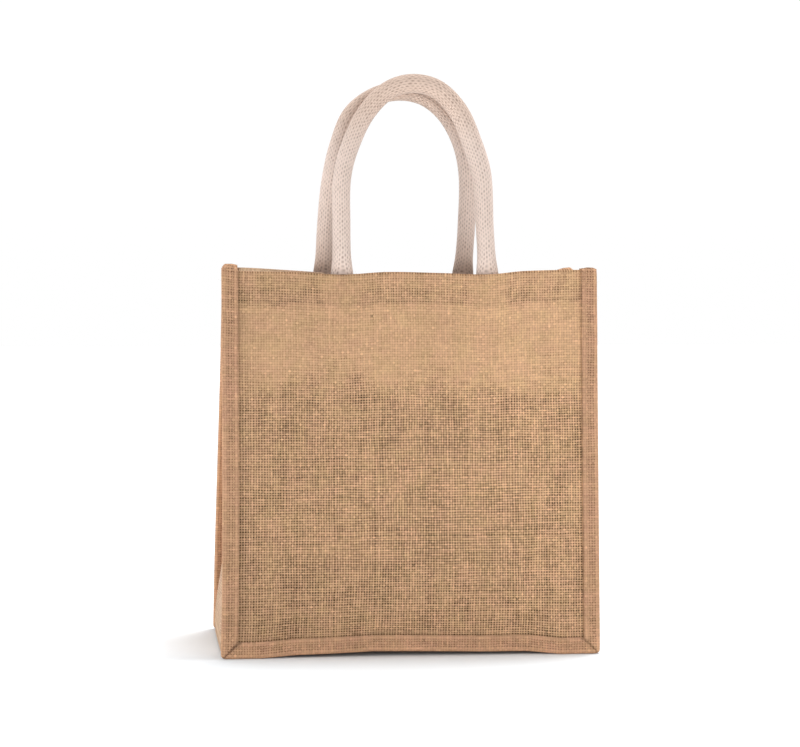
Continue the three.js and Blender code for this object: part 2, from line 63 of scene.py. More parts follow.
bpy.ops.object.select_all(action="DESELECT")
bpy.ops.object.camera_add(
    location=[(CAMERA_PLACE[0] - CENTRE_X) * MM, CAMERA_PLACE[1] * MM, CAMERA_PLACE[2] * MM],
    rotation=[math.radians(angle) for angle in CAMERA_TURN],
)
camera = bpy.context.object
camera.name = "camera"
camera.data.lens = LENS
camera.data.sensor_width = SENSOR_WIDTH
camera.data.clip_end = SEES_TO
bpy.context.scene.camera = camera
print("camera at", [round(value, 3) for value in camera.location])

# %% [markdown]
# ## The shape of the standing bag
# Every layer of cloth is placed by one function. It takes a place on the flat front or back, u across and v
# up, and a depth behind the panel's outer face, and gives the place on the standing bag. So layers that lie
# on each other share every lean, bow and dent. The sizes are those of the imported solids, in millimetres.
# Only the back rim and the binding's top ends are a millimetre or two lower here, as they look on the real
# bag.

# %% Sizes
CLOTH = 1.2
BINDING_CLOTH = 1.5
GAP = 0.3
LAYER = CLOTH + GAP
HALF_OUTLINE = 150
FLANGE = 13.2
SEAM = HALF_OUTLINE - FLANGE
RAW_EDGE = 3.1
RIM = 303
HEM = 24.5
HALF_DEPTH = 90
TOP_LEAN = 40
LEAN_POWER = 1.4
CORNER_RADIUS = 3
CORNER_SQUARENESS = 14
BINDING_RISE = 2
BINDING_EDGE = 0.4
BELLY_SPREAD = 75
PULL_START = 200
LIFT_FADE = 20
BOW_FADE = 26
MOST_LIFT = 3.4
LIFT_DEPTH = (5, 18)

FACES = {
    "front": {
        "sign": -1, "belly": 4, "belly_height": 105, "pull": 4, "bow_in": 6,
        "tabs": (-53.8, 62.9), "top_ends": (2.2, 0.8),
        "sides": {
            "v": (0, 60, 138, 220, 303),
            "left": (-150.4, -149.1, -148.4, -148.1, -147.7),
            "right": (150.5, 150.7, 151.4, 152.7, 154.5),
        },
        "rim": {
            "u": (-150, -134, -92, -54, -18, 26, 63, 92, 134, 150),
            "z": (303.6, 302.2, 301.4, 299.4, 301.5, 300.6, 299.6, 302.3, 303.2, 302.6),
        },
        "lift": (0, 0, 1.7, 2.4, 3.5, 3.2, 2.7, 2.2, 2.2, 0, 0),
    },
    "back": {
        "sign": 1, "belly": 3, "belly_height": 120, "pull": 3, "bow_in": 4,
        "tabs": (-64.1, 54.1), "top_ends": (1.8, 1.6),
        "sides": {
            "v": (0, 60, 138, 220, 303),
            "left": (-149.8, -148.6, -146.5, -144.3, -142.9),
            "right": (150, 150.2, 150.4, 150.6, 151),
        },
        "rim": {
            "u": (-150, -130, -92, -62, -35, 15, 54, 88, 134, 150),
            "z": (305, 304.9, 302.5, 299.4, 299.6, 299.6, 298.2, 298.2, 300.9, 302.4),
        },
        "lift": (0, 0, 1.2, 2.3, 2.9, 3.1, 3.2, 2.4, 1.4, 0, 0),
    },
}
LIFT_COLUMNS = (-133.8, -118, -92, -62, -30, 0, 30, 62, 92, 118, 133.8)

# Soft unevenness of the panels: wave lengths across and up, depth and phase
WAVES = ((210, 330, 0.9, 0.6), (128, 190, 0.6, 2.1), (76, 260, 0.35, 4.0))
WAVE_HEIGHT = (14, 70)

# The flat sewn ends of the handles, the panel's swelling over them, and the pocket that holds them
TAB_WIDTH = 18.4
TAB_THICKNESS = 2.4
TAB_ROOM = 1.2
TAB_RAMP = 9.5
TAB_BULGE = 1.1
TAB_FADE = 20
TAB_FLAT_TOP = 12
POCKET_ROOM = 0.15
HEM_BEHIND_TAB = CLOTH / 2 + LAYER + TAB_THICKNESS + GAP + POCKET_ROOM
print("front:", 2 * HALF_OUTLINE, "x", RIM, "mm, base", 2 * HALF_DEPTH, "mm deep")


# %% Curves through tables
def mix(a, b, share):
    return a + (b - a) * share


def ramp(x, low, high):
    t = min(max((x - low) / (high - low), 0), 1)
    return t * t * (3 - 2 * t)


def curve(xs, ys, x):
    """The height at x of a smooth curve through a table's points."""
    last = len(xs) - 1
    i = 0
    while i < last - 1 and x > xs[i + 1]:
        i += 1
    span = xs[i + 1] - xs[i]
    t = min(max((x - xs[i]) / span, 0), 1)
    straight = (ys[i + 1] - ys[i]) / span
    start = (ys[i + 1] - ys[i - 1]) / (xs[i + 1] - xs[i - 1]) if i > 0 else straight
    end = (ys[i + 2] - ys[i]) / (xs[i + 2] - xs[i]) if i + 1 < last else straight
    t2, t3 = t * t, t * t * t
    return (
        (2 * t3 - 3 * t2 + 1) * ys[i] + (t3 - 2 * t2 + t) * span * start
        + (3 * t2 - 2 * t3) * ys[i + 1] + (t3 - t2) * span * end
    )


# %% The standing shape
def in_panel(u):
    return math.cos(min(abs(u) / SEAM, 1) * math.pi / 2) ** 2


def over_tab(face, u):
    plateau = TAB_WIDTH / 2 + TAB_ROOM
    return max(1 - ramp(abs(u - tab), plateau, plateau + TAB_RAMP) for tab in face["tabs"])


def bottom_lift(face, u):
    for i in range(1, len(LIFT_COLUMNS)):
        if LIFT_COLUMNS[i - 1] <= u <= LIFT_COLUMNS[i]:
            share = (u - LIFT_COLUMNS[i - 1]) / (LIFT_COLUMNS[i] - LIFT_COLUMNS[i - 1])
            return mix(face["lift"][i - 1], face["lift"][i], share)
    return 0


def on_face(side, u, v):
    """The outer face of a panel: x, y, z and the bottom edge's lift there."""
    face = FACES[side]
    up = max(v, 0) / RIM
    above_binding = max(v - FLANGE, 0)
    middle = in_panel(u)
    swell = face["belly"] * middle * math.exp(-(((v - face["belly_height"]) / BELLY_SPREAD) ** 2))
    for across, high, depth, start in WAVES:
        phase = start + face["sign"]
        swell += (
            depth * middle * ramp(v, *WAVE_HEIGHT)
            * math.sin(u / across * 2 * math.pi + phase) * math.cos(v / high * 2 * math.pi + phase)
        )
    over_hem = ramp(v, RIM - HEM - TAB_FADE, RIM - HEM) * (1 - ramp(v, RIM - TAB_FLAT_TOP, RIM))
    swell += TAB_BULGE * over_tab(face, u) * over_hem
    lift = bottom_lift(face, u)
    drawn_in = TOP_LEAN * up**LEAN_POWER + face["pull"] * middle * ramp(v, PULL_START, RIM)
    bow = face["bow_in"] * lift / MOST_LIFT
    height = curve(face["rim"]["u"], face["rim"]["z"], min(max(u, -HALF_OUTLINE), HALF_OUTLINE))
    sides = face["sides"]
    left = curve(sides["v"], sides["left"], v)
    right = curve(sides["v"], sides["right"], v)
    return (
        mix(left, right, u / HALF_OUTLINE / 2 + 0.5),
        face["sign"] * (HALF_DEPTH - drawn_in - bow * math.exp(-above_binding / BOW_FADE) + swell),
        v + (height - RIM) * ramp(v, RIM / 2, RIM),
        lift * math.exp(-above_binding / LIFT_FADE),
    )


OTHER = {"front": "back", "back": "front"}


def place(side, u, v, depth, at=None):
    """The place at depth behind a panel's outer face. With at, the face is read at that place instead."""
    at_u, at_v = at or (u, v)
    near = on_face(side, at_u, at_v)
    far = on_face(OTHER[side], at_u, at_v)
    share = depth / abs(far[1] - near[1])
    return Vector((
        mix(near[0], far[0], share) + u - at_u - CENTRE_X,
        mix(near[1], far[1], share),
        mix(near[2], far[2], share) + near[3] * (1 - ramp(depth, *LIFT_DEPTH)) + v - at_v,
    )) * MM


print("rim's middle:", [round(value / MM, 1) for value in place("front", 0, RIM, 0)], "mm")

# %% [markdown]
# ## A flat grid, carried to its place
# Cloth starts as Blender's flat grid. Each corner of the grid is carried to its place, and its flat place
# on the cloth is kept as a UV map in metres for the weave. A sheet then gets its thickness from the
# Solidify modifier. A cloth simulation could drape the sheets too, but this bag stands stiffly in one known
# shape, so the places are worked out.

# %% Grid
TINY = 1e-6


def steps(start, end, size):
    """Even steps from start to end, no longer than size."""
    count = max(1, math.ceil(abs(end - start) / size - TINY))
    return [mix(start, end, i / count) for i in range(count + 1)]


def placed_grid(name, across, along, point, flat):
    """A grid with a row for each of along and a point in it for each of across, and each point's pair."""
    bpy.ops.object.select_all(action="DESELECT")
    bpy.ops.mesh.primitive_grid_add(x_subdivisions=len(across) - 1, y_subdivisions=len(along) - 1, size=2)
    piece = bpy.context.object
    piece.name = name
    mesh = piece.data
    mesh.uv_layers[0].name = "Cloth"
    cells = []
    for vertex in mesh.vertices:
        i = round((vertex.co.x + 1) / 2 * (len(across) - 1))
        j = round((vertex.co.y + 1) / 2 * (len(along) - 1))
        cells.append((across[i], along[j]))
    for vertex, (a, b) in zip(mesh.vertices, cells):
        vertex.co = point(a, b)
    flat_places = [flat(a, b) for a, b in cells]
    for loop in mesh.loops:
        mesh.uv_layers["Cloth"].data[loop.index].uv = [value * MM for value in flat_places[loop.vertex_index]]
    return piece, cells


def turn_faces_outwards(merged=False):
    """Turns the active piece's faces outwards. With merged, its seam and ends are closed first."""
    bpy.ops.object.mode_set(mode="EDIT")
    bpy.ops.mesh.select_all(action="SELECT")
    if merged:
        bpy.ops.mesh.remove_doubles(threshold=TINY)
        bpy.ops.mesh.fill_holes(sides=0)
    bpy.ops.mesh.normals_make_consistent(inside=False)
    bpy.ops.object.mode_set(mode="OBJECT")


# %% Sheet of cloth
SMOOTH_BELOW = math.radians(50)
FLAT_SIZES = {}


def cloth_sheet(name, across, along, point, flat, thickness, paint):
    """A sheet of cloth. Paint holds a function for each value that is kept at its points."""
    sheet, cells = placed_grid(name, across, along, point, flat)
    for attribute, value in paint.items():
        layer = sheet.data.attributes.new(attribute, "FLOAT", "POINT")
        for index, (a, b) in enumerate(cells):
            layer.data[index].value = value(a, b)
    bpy.ops.object.modifier_add(type="SOLIDIFY")
    solidify = sheet.modifiers[-1]
    solidify.thickness = thickness * MM
    solidify.offset = 0
    bpy.ops.object.modifier_apply(modifier=solidify.name)
    turn_faces_outwards()
    bpy.ops.object.shade_smooth_by_angle(angle=SMOOTH_BELOW)
    print(name, len(sheet.data.polygons), "faces")
    return sheet


# %% [markdown]
# ## The seam
# The two panels are joined to the gusset all round, with the raw edges outside. The seam runs down the left
# side, round a nearly square corner, along the bottom and up the right side. A station is a place on that
# line, with the way out of the bag there. The gusset and the bindings both follow the stations, so they
# meet all along the seam.


# %% Stations along the seam
def corner_way(angle):
    c, s = math.cos(math.radians(angle)), math.sin(math.radians(angle))
    size = (abs(c) ** CORNER_SQUARENESS + abs(s) ** CORNER_SQUARENESS) ** (1 / CORNER_SQUARENESS)
    return c / size, s / size


def seam_stations(heights, corner_angles, bottom_step):
    inner = SEAM - CORNER_RADIUS
    turn = FLANGE + CORNER_RADIUS
    left = [(-SEAM, v, -1, 0) for v in [*heights, turn]]
    for angle in corner_angles:
        across, down = corner_way(angle)
        left.append((-inner - CORNER_RADIUS * across, turn - CORNER_RADIUS * down, -across, -down))
    bottom = [(u, FLANGE, 0, -1) for u in steps(-inner, inner, bottom_step)]
    right = [(-u, v, -out_u, out_v) for u, v, out_u, out_v in reversed(left)]
    return left + bottom + right


def run_lengths(places, axes=2):
    """How far along a line each of its places is, measured in their first axes."""
    lengths = [0]
    for before, after in zip(places, places[1:]):
        lengths.append(lengths[-1] + math.dist(before[:axes], after[:axes]))
    return lengths


def both_halves(half, span):
    """A section through the seam: its half near one panel, and the same mirrored at the other."""
    return half + [(q, span - depth) for q, depth in reversed(half[:-1])]


print("seam:", round(run_lengths(seam_stations([RIM], [45], 10))[-1]), "mm down, across and up")


# %% [markdown]
# ## How open and how dark the cloth is
# Two values are kept at every point of a cloth. "open" says how far apart the threads lie, so how big the
# holes between them are, and how dark the holes are painted, as painted shade of what lies behind the cloth.
# "tone" says how light the cloth is, and also carries painted light and shade. Where layers lie behind each
# other, in the hem and in the bindings, and in the band below the hem, the threads lie close. Lower down the
# cloth is looser, in soft uneven patches. Beside a cut edge that lies on another cloth, painted shade makes a
# dark line.

# %% Noise and hem
# Width of the lines of painted shade beside the bindings' edges
CREASE_SHADE_WIDTH = 0.8
HEM_LINE = RIM - HEM + 2
HEM_FADE = (RIM - HEM - 1.5, RIM - HEM + 0.5)
HEM_SWAY = {"size": 50, "depth": 4, "seed": 2}
WEAVE_SEED = 3.1
TONE_SEED = 5.3
FRACTAL = {"roughness": 0.6, "spread": 2.0, "layers": 4}


def blotches(u, v, size, seed):
    """Soft uneven spots of a size, from nought to one."""
    spot = Vector((u / size, v / size, seed))
    return 0.5 + 0.5 * noise.fractal(spot, FRACTAL["roughness"], FRACTAL["spread"], FRACTAL["layers"])


def line_at(distance, width):
    """One on a line, fading within about its width."""
    return math.exp(-((distance / width) ** 2))


def inside_hem(side, u, v):
    """One where the panel's cloth lies double at the top, and nought below its hem."""
    seed = WEAVE_SEED * FACES[side]["sign"] + HEM_SWAY["seed"]
    sway = HEM_SWAY["depth"] * (blotches(u, v, HEM_SWAY["size"], seed) - 0.5)
    return ramp(v + sway, *HEM_FADE)


print("the hem's lower edge shows at", HEM_LINE, "mm")

# %% Panels' weave
BAND_FADE = (194, 238)
BAND_SWAY = {"size": 38, "depth": 40}
CLOSE_WEAVE = 0.06
LOOSE_WEAVE = {"least": 0.63, "patches": 0.22, "from": 0.36, "to": 0.66}
PATCH = {"size": 34, "share": 0.3, "seed": 8}
STREAK = {"size": 11, "stretch": 3.5, "share": 0.35, "seeds": (9, 10)}
HEM_WEAVE = {
    "least": 0.42, "patches": 0.22, "over_tab": 0.75, "at_rim": 0.5,
    "size": 16, "seed": 5, "from": 0.3, "to": 0.7,
}
BELOW_RIM = (RIM - 15, RIM - 3)


# How loose the weave is. The same value sets how dark the holes are painted, as painted shade of what lies
# behind the cloth.
def panel_open(side, u, v):
    seed = WEAVE_SEED * FACES[side]["sign"]
    sway = BAND_SWAY["depth"] * (blotches(u, v, BAND_SWAY["size"], seed) - 0.5)
    loose = 1 - ramp(v + sway, *BAND_FADE)
    across, up = STREAK["seeds"]
    patches = PATCH["share"] * blotches(u, v, PATCH["size"], seed + PATCH["seed"])
    patches += STREAK["share"] * blotches(u / STREAK["stretch"], v, STREAK["size"], seed + across)
    patches += STREAK["share"] * blotches(u, v / STREAK["stretch"], STREAK["size"], seed + up)
    patches = ramp(patches, LOOSE_WEAVE["from"], LOOSE_WEAVE["to"])
    loose *= LOOSE_WEAVE["least"] + LOOSE_WEAVE["patches"] * patches
    spots = blotches(u, v, HEM_WEAVE["size"], seed + HEM_WEAVE["seed"])
    spots = ramp(spots, HEM_WEAVE["from"], HEM_WEAVE["to"])
    hem = inside_hem(side, u, v) * (HEM_WEAVE["least"] + HEM_WEAVE["patches"] * spots)
    hem *= 1 - HEM_WEAVE["at_rim"] * ramp(v, *BELOW_RIM)
    hem *= 1 - HEM_WEAVE["over_tab"] * over_tab(FACES[side], u)
    return CLOSE_WEAVE + loose + hem


for height in (250, 60):
    print("open at", height, "mm:", round(panel_open("front", 0, height), 2))

# %% Panels' tone
PANEL_TONE = {
    "plain": 1.04, "band": -0.05, "foot": -0.05, "sideways": 0.1, "uneven": 0.08,
    "hem": -0.045, "hem_line_shade": -0.06,
}
BAND_TONE_HEIGHTS = (190, 235)
FOOT_HEIGHTS = (20, 130)
UNEVEN_SIZE = 60
HEM_LINE_WIDTH = 2.2
# Painted shade beside the bindings' inner edges: along the left side, stronger higher up, and along the
# bottom
SIDE_CREASE_SHADE = {"low": 0.08, "high": 0.3}
SIDE_CREASE_HEIGHTS = (225, 262)
BOTTOM_CREASE_SHADE = 0.12


def panel_tone(side, u, v):
    tone = PANEL_TONE["plain"]
    # Painted shade: the cloth is darker towards the foot
    foot = PANEL_TONE["foot"] * (1 - ramp(v, *FOOT_HEIGHTS))
    tone += PANEL_TONE["band"] * ramp(v, *BAND_TONE_HEIGHTS) + foot
    # Painted light: the cloth is lighter to the right, the side the light comes from
    tone += PANEL_TONE["sideways"] * u / HALF_OUTLINE
    tone += PANEL_TONE["uneven"] * (blotches(u, v, UNEVEN_SIZE, TONE_SEED * FACES[side]["sign"]) - 0.5)
    # Painted shade: a dark line along the hem's lower edge
    hem_line_shade = PANEL_TONE["hem_line_shade"] * line_at(v - HEM_LINE, HEM_LINE_WIDTH)
    tone *= 1 + PANEL_TONE["hem"] * inside_hem(side, u, v) + hem_line_shade
    # Painted shade: a dark line beside the left binding's inner edge
    crease_shade = SIDE_CREASE_SHADE["low"] + SIDE_CREASE_SHADE["high"] * ramp(v, *SIDE_CREASE_HEIGHTS) if u < 0 else 0
    tone *= 1 - crease_shade * line_at(SEAM - abs(u), CREASE_SHADE_WIDTH)
    # Painted shade: a dark line along the bottom binding's edge
    return tone * (1 - BOTTOM_CREASE_SHADE * line_at(v - FLANGE, CREASE_SHADE_WIDTH))


for height in (250, 60):
    print("tone at", height, "mm:", round(panel_tone("front", 0, height), 2))

# %% Bindings' weave and tone
TURNED_IN = 2.7
TURNED_IN_WEAVE = (TURNED_IN, TURNED_IN + 1)
TURNED_IN_TONE = (TURNED_IN - 0.4, TURNED_IN + 0.6)
OUTER_FOLD = 2.4
OUTER_FOLD_WEAVE = (-OUTER_FOLD - 1, -OUTER_FOLD)
OUTER_FOLD_HIGHLIGHT = (-OUTER_FOLD - 1, -OUTER_FOLD + 0.5)
EDGE_SHADE = (BINDING_EDGE, BINDING_EDGE + 0.7)
STRIP_WEAVE = {"close": 0.04, "loose": 0.4}
# The strip is painted lighter at its outer fold, as a painted highlight, and darker right at its cut edge, as
# painted shade
STRIP_TONE = {"plain": 0.97, "turned_in": 0.05, "outer_fold": 0.08, "edge": -0.15}


def strip_open(q, outer):
    """How open a binding is at q from the seam, where outer is its folded edge."""
    single = ramp(q, *TURNED_IN_WEAVE) * (1 - ramp(q - outer, *OUTER_FOLD_WEAVE))
    return STRIP_WEAVE["close"] + STRIP_WEAVE["loose"] * single


def strip_tone(q, outer):
    tone = STRIP_TONE["plain"] + STRIP_TONE["turned_in"] * (1 - ramp(q, *TURNED_IN_TONE))
    # Painted highlight along the outer fold
    tone += STRIP_TONE["outer_fold"] * ramp(q - outer, *OUTER_FOLD_HIGHLIGHT)
    # Painted shade right at the cut edge
    return tone + STRIP_TONE["edge"] * (1 - ramp(q, *EDGE_SHADE))


# %% [markdown]
# ## Front and back panels
# A panel is a plain square of jute. Its top edge is turned in as a hem of about 25 mm, and over each sewn
# end of a handle the hem stands a little open, because the flat webbing lies between its two layers. Two
# sheets could make the panel and its hem, but one that runs up the outside, over the rim and down the
# inside gives the rim its soft fold.

# %% Panels
HEM_TURN_STEPS = 6
PANEL_STEPS = {"across": 3, "up": 3.2}
BESIDE_BINDING = (-0.4, 0.4, 1.2, 2.2)
RIM_WRAP = 4


def panel_columns(edge):
    """Places across a panel, closer beside the bindings' edges."""
    beside = [SEAM - away for away in reversed(BESIDE_BINDING)]
    step = PANEL_STEPS["across"]
    right = steps(0, beside[0], step)[1:-1] + beside + steps(beside[-1], edge, step)[1:]
    return [-u for u in reversed(right)] + [0] + right


def panel_path(bottom):
    """Heights up the outside of a panel, over its rim and down its hem, as (height, turn in degrees)."""
    beside = [FLANGE + away for away in BESIDE_BINDING]
    step = PANEL_STEPS["up"]
    heights = steps(bottom, beside[0], step)[:-1] + beside + steps(beside[-1], RIM, step)[1:]
    up = [(v, 0) for v in heights[:-1]]
    over = [(RIM, 180 * i / HEM_TURN_STEPS) for i in range(HEM_TURN_STEPS + 1)]
    down = [(v, 180) for v in steps(RIM, RIM - HEM, step)[1:]]
    return up + over + down


def panel_bottom(u):
    inner = SEAM - CORNER_RADIUS
    reach = FLANGE - RAW_EDGE + CORNER_RADIUS
    along = min(max((abs(u) - inner) / reach, 0), 1)
    return FLANGE + CORNER_RADIUS - reach * (1 - along**CORNER_SQUARENESS) ** (1 / CORNER_SQUARENESS)


print("panel:", len(panel_columns(SEAM)), "x", len(panel_path(RAW_EDGE)), "points")


# %% Make the panels
def panel(side):
    face = FACES[side]
    edge = SEAM + FLANGE - RAW_EDGE
    path = panel_path(RAW_EDGE)

    def point(u, step):
        v, turn = step
        v = max(v, panel_bottom(u))
        inset = mix(LAYER, HEM_BEHIND_TAB - CLOTH / 2, over_tab(face, u))
        c, s = math.cos(math.radians(turn)), math.sin(math.radians(turn))
        return place(side, u, v + s * LAYER / 2, CLOTH / 2 + inset / 2 * (1 - c))

    def flat(u, step):
        v, turn = step
        return (u, v) if turn < 90 else (u, 2 * RIM + RIM_WRAP - v)

    paint = {
        "open": lambda u, step: panel_open(side, u, step[0]),
        "tone": lambda u, step: panel_tone(side, u, step[0]),
    }
    FLAT_SIZES[f"{side}_panel"] = (2 * edge, RIM + HEM - RAW_EDGE)
    return cloth_sheet(f"{side}_panel_cloth", panel_columns(edge), path, point, flat, CLOTH, paint)


panels = {side: panel(side) for side in FACES}

# %% [markdown]
# ## Gusset
# The gusset is one strip of jute, as long as both sides and the bottom. Near the seam it lies against the
# panel's edge. It turns sharply away round the binding, swells out flush with the bag's outline low down,
# and folds softly inwards towards the top, as an empty gusseted bag does. Its two ends are hemmed. Its
# section is worked out at every station, because one section swept along a curve couldn't change from the
# base to the folded sides.

# %% Gusset
SIDE_WALL = {
    "v": (0, 30, 70, 120, 180, 245, 303),
    "swell": (14.2, 13.8, 11.5, 9, 7, 4, 3),
    "fold": (0, 1.2, 11, 29, 47, 62, 70),
}
BASE_SWELL = 11.6
BASE_TURN = 20
WALL_INSET = 1.6
WALL_START = 2.6
FACE_REACH = 3
FLANGE_THICKENS = (RIM - HEM - 15, RIM - HEM - 2)
SWELL_POWER = 5
SWELL_FLAT = 1.12
FOLD_SOFTNESS = 0.09
FOLD_DROP = 2.9
FOLD_DROP_POWER = 1.5
FOLD_DROP_HEIGHTS = (RIM - 60, RIM)
ON_THE_PANEL = (FLANGE - RAW_EDGE, 8, 5.5, 3, 1, 0.1)
ROUND_THE_SEAM = ((-0.6, 0.25), (-1.1, 0.7), (-1.45, 1.6))
WALL_POINTS = {"count": 14, "crowding": 1.35}
GUSSET_CORNERS = (15, 30, 45, 60, 75)
GUSSET_STEPS = {"up": 3.6, "across": 4, "lowest": 20}
GUSSET_WEAVE = {"least": 0.15, "patches": 0.25, "size": 24, "seed": 14.0}
# Painted shade: the gusset is darker low down and at its rim, which evens out the light falling on it
GUSSET_TONE = {"plain": 1.06, "foot": -0.18, "rim": -0.3, "uneven": 0.12, "size": 40, "seed": 21.0}
GUSSET_FOOT_SHADE = (30, 120)
GUSSET_RIM_SHADE = (RIM - 9, RIM)


# %% Gusset's section
def gusset_depth(v):
    return 1.5 * CLOTH + GAP + 2 * LAYER * ramp(v, *FLANGE_THICKENS)


def gusset_section(station, wall_shares):
    """The gusset's section at a station: way out of the bag (q), depth from the front, and the normal."""
    u, v, _, out_v = station
    front, back = on_face("front", u, v), on_face("back", u, v)
    span = back[1] - front[1]
    depth = gusset_depth(v)
    start = depth + WALL_START
    in_base = ramp(SEAM - abs(u), 0, BASE_TURN)
    swell = mix(curve(SIDE_WALL["v"], SIDE_WALL["swell"], v), BASE_SWELL, in_base)
    fold = curve(SIDE_WALL["v"], SIDE_WALL["fold"], v) if out_v == 0 else 0
    half = [(q, depth) for q in ON_THE_PANEL] + [(q, depth + further) for q, further in ROUND_THE_SEAM]
    fold_end = math.hypot(1, FOLD_SOFTNESS)
    for share in wall_shares:
        middle = abs(2 * share - 1)
        swollen = min(1, SWELL_FLAT * (1 - middle**SWELL_POWER))
        folded = (fold_end - math.hypot(middle, FOLD_SOFTNESS)) / (fold_end - FOLD_SOFTNESS)
        half.append((-WALL_INSET + swell * swollen - fold * folded, start + (span - 2 * start) * share))
    line = both_halves(half, span)
    points = []
    for i, (q, d) in enumerate(line):
        before, after = line[max(i - 1, 0)], line[min(i + 1, len(line) - 1)]
        length = math.dist(before, after)
        points.append((q, d, (after[1] - before[1]) / length, -(after[0] - before[0]) / length, span))
    return points


def gusset_place(station, section_point, outwards, upwards):
    u, v, out_u, out_v = station
    q, depth, normal_q, normal_depth, span = section_point
    q += normal_q * outwards
    depth += normal_depth * outwards
    q_read = min(max(q, -FACE_REACH), FLANGE)
    at = (u + out_u * q_read, v + out_v * q_read)
    side, from_face = ("front", depth) if depth <= span / 2 else ("back", span - depth)
    return place(side, u + out_u * q, v + out_v * q, from_face, at) + Vector((0, 0, upwards * MM))


for height in (0, RIM):
    print("gusset's middle behind the face at", height, "mm:", round(gusset_depth(height), 1), "mm")


# %% Make the gusset
def gusset():
    count = WALL_POINTS["count"]
    wall_shares = [0.5 * (i / count) ** WALL_POINTS["crowding"] for i in range(count + 1)]
    heights = steps(RIM, GUSSET_STEPS["lowest"], GUSSET_STEPS["up"])
    outside = [(station, 0) for station in seam_stations(heights, GUSSET_CORNERS, GUSSET_STEPS["across"])]

    def hem(station):
        u, v, out_u, out_v = station
        turns = [(station, 180 * i / HEM_TURN_STEPS) for i in range(1, HEM_TURN_STEPS)]
        return turns + [((u, v, out_u, out_v), 180) for v in steps(RIM, RIM - HEM, GUSSET_STEPS["up"])]

    rows = hem(outside[0][0])[::-1] + outside + hem(outside[-1][0])
    sections = [gusset_section(station, wall_shares) for station, _ in rows]
    lengths = run_lengths([station for station, _ in rows])
    widths = run_lengths(sections[len(sections) // 2])

    def point(i, j):
        station, turn = rows[j]
        c, s = math.cos(math.radians(turn)), math.sin(math.radians(turn))
        inwards = max(-sections[j][i][0], 0) / SIDE_WALL["fold"][-1]
        drop = FOLD_DROP * inwards**FOLD_DROP_POWER * ramp(station[1], *FOLD_DROP_HEIGHTS)
        return gusset_place(station, sections[j][i], -LAYER / 2 * (1 - c), s * LAYER / 2 - drop)

    def flat(i, j):
        return widths[i], lengths[j]

    def openness(i, j):
        spots = blotches(widths[i], lengths[j], GUSSET_WEAVE["size"], GUSSET_WEAVE["seed"])
        return GUSSET_WEAVE["least"] + GUSSET_WEAVE["patches"] * spots

    def tone(i, j):
        v = rows[j][0][1]
        # Painted shade: darker low down and at the rim
        value = GUSSET_TONE["plain"] + GUSSET_TONE["foot"] * (1 - ramp(v, *GUSSET_FOOT_SHADE))
        value += GUSSET_TONE["rim"] * ramp(v, *GUSSET_RIM_SHADE)
        spots = blotches(widths[i], lengths[j], GUSSET_TONE["size"], GUSSET_TONE["seed"])
        return value + GUSSET_TONE["uneven"] * (spots - 0.5)

    paint = {"open": openness, "tone": tone}
    FLAT_SIZES["gusset"] = (widths[-1], lengths[-1])
    return cloth_sheet("gusset_cloth", range(len(sections[0])), range(len(rows)), point, flat, CLOTH, paint)


gusset_cloth = gusset()

# %% [markdown]
# ## Bindings
# A strip of the same jute is folded over the raw edges of each seam and sewn through, so its outer edge is
# a soft fold and its inner edges are cut edges turned under. At the bottom corners the strip is folded to a
# mitre, a diagonal crease from the inner corner to the outer one. At the top both ends are pressed
# together. A bevelled curve would give a plain round edging, so the strip is a sheet too, folded at every
# station.

# %% Bindings
MITRE_ANGLES = (8, 16, 24, 31, 36, 39.5, 42, 43.7, 45, 46.3, 48, 50.5, 54, 59, 66, 74, 82)
MITRE_RAISED = {"height": 0.6, "fades_in": 4}
MITRE_SUNK = {"depth": 0.4, "fades_in": 1.5}
# Painted shade in the mitre's crease
MITRE_CREASE_SHADE = {"dark": 0.5, "at": 0.4, "width": 0.7}
MITRE_FADE = (0, 3)
ON_FRONT = (0.36, 0.45)
CLOSING_SHARES = (1, 0.8, 0.6, 0.4, 0.2)
TURNED_IN_RISE = 0.3
TURNED_IN_STARTS = (BINDING_EDGE - 0.5, BINDING_EDGE + 1)
TURNED_IN_ENDS = (TURNED_IN - 0.3, TURNED_IN + 0.9)
BESIDE_EDGE = (BINDING_EDGE, BINDING_EDGE + 0.5, BINDING_EDGE + 1.2, TURNED_IN, TURNED_IN + 0.9)
TOP_INNER_DROP = {"front": (1.3, 1.7), "back": (1.0, 1.0)}
TOP_INNER_FADE = (0, 6)
TOP_OUTER_DROP = 1.2
TOP_OUTER_FADE = (-2.2, 0)
BINDING_TURN = 1.55
BINDING_CLOSED = 0.2
BINDING_PINCH = 1.2
# Painted light: the back binding is lighter, which lifts it out of the shade between the flanges
BINDING_PAINTED_LIGHT = {"front": 0, "back": 0.16}
BINDING_TONE = {"foot": 0.12, "sideways": 0.05, "uneven": 0.1, "size": 30, "seed": 31.0}
BINDING_FOOT = (0, 30)
BINDING_WEAVE = {"size": 18, "seed": 35.0}
BINDING_STEPS = {"along_fold": 2, "up": 3.6, "across": 4, "lowest": 20}
FOLD_ROUNDNESS = {"out": 0.8, "across": 0.7}
FOLD_ANGLES = range(15, 90, 15)


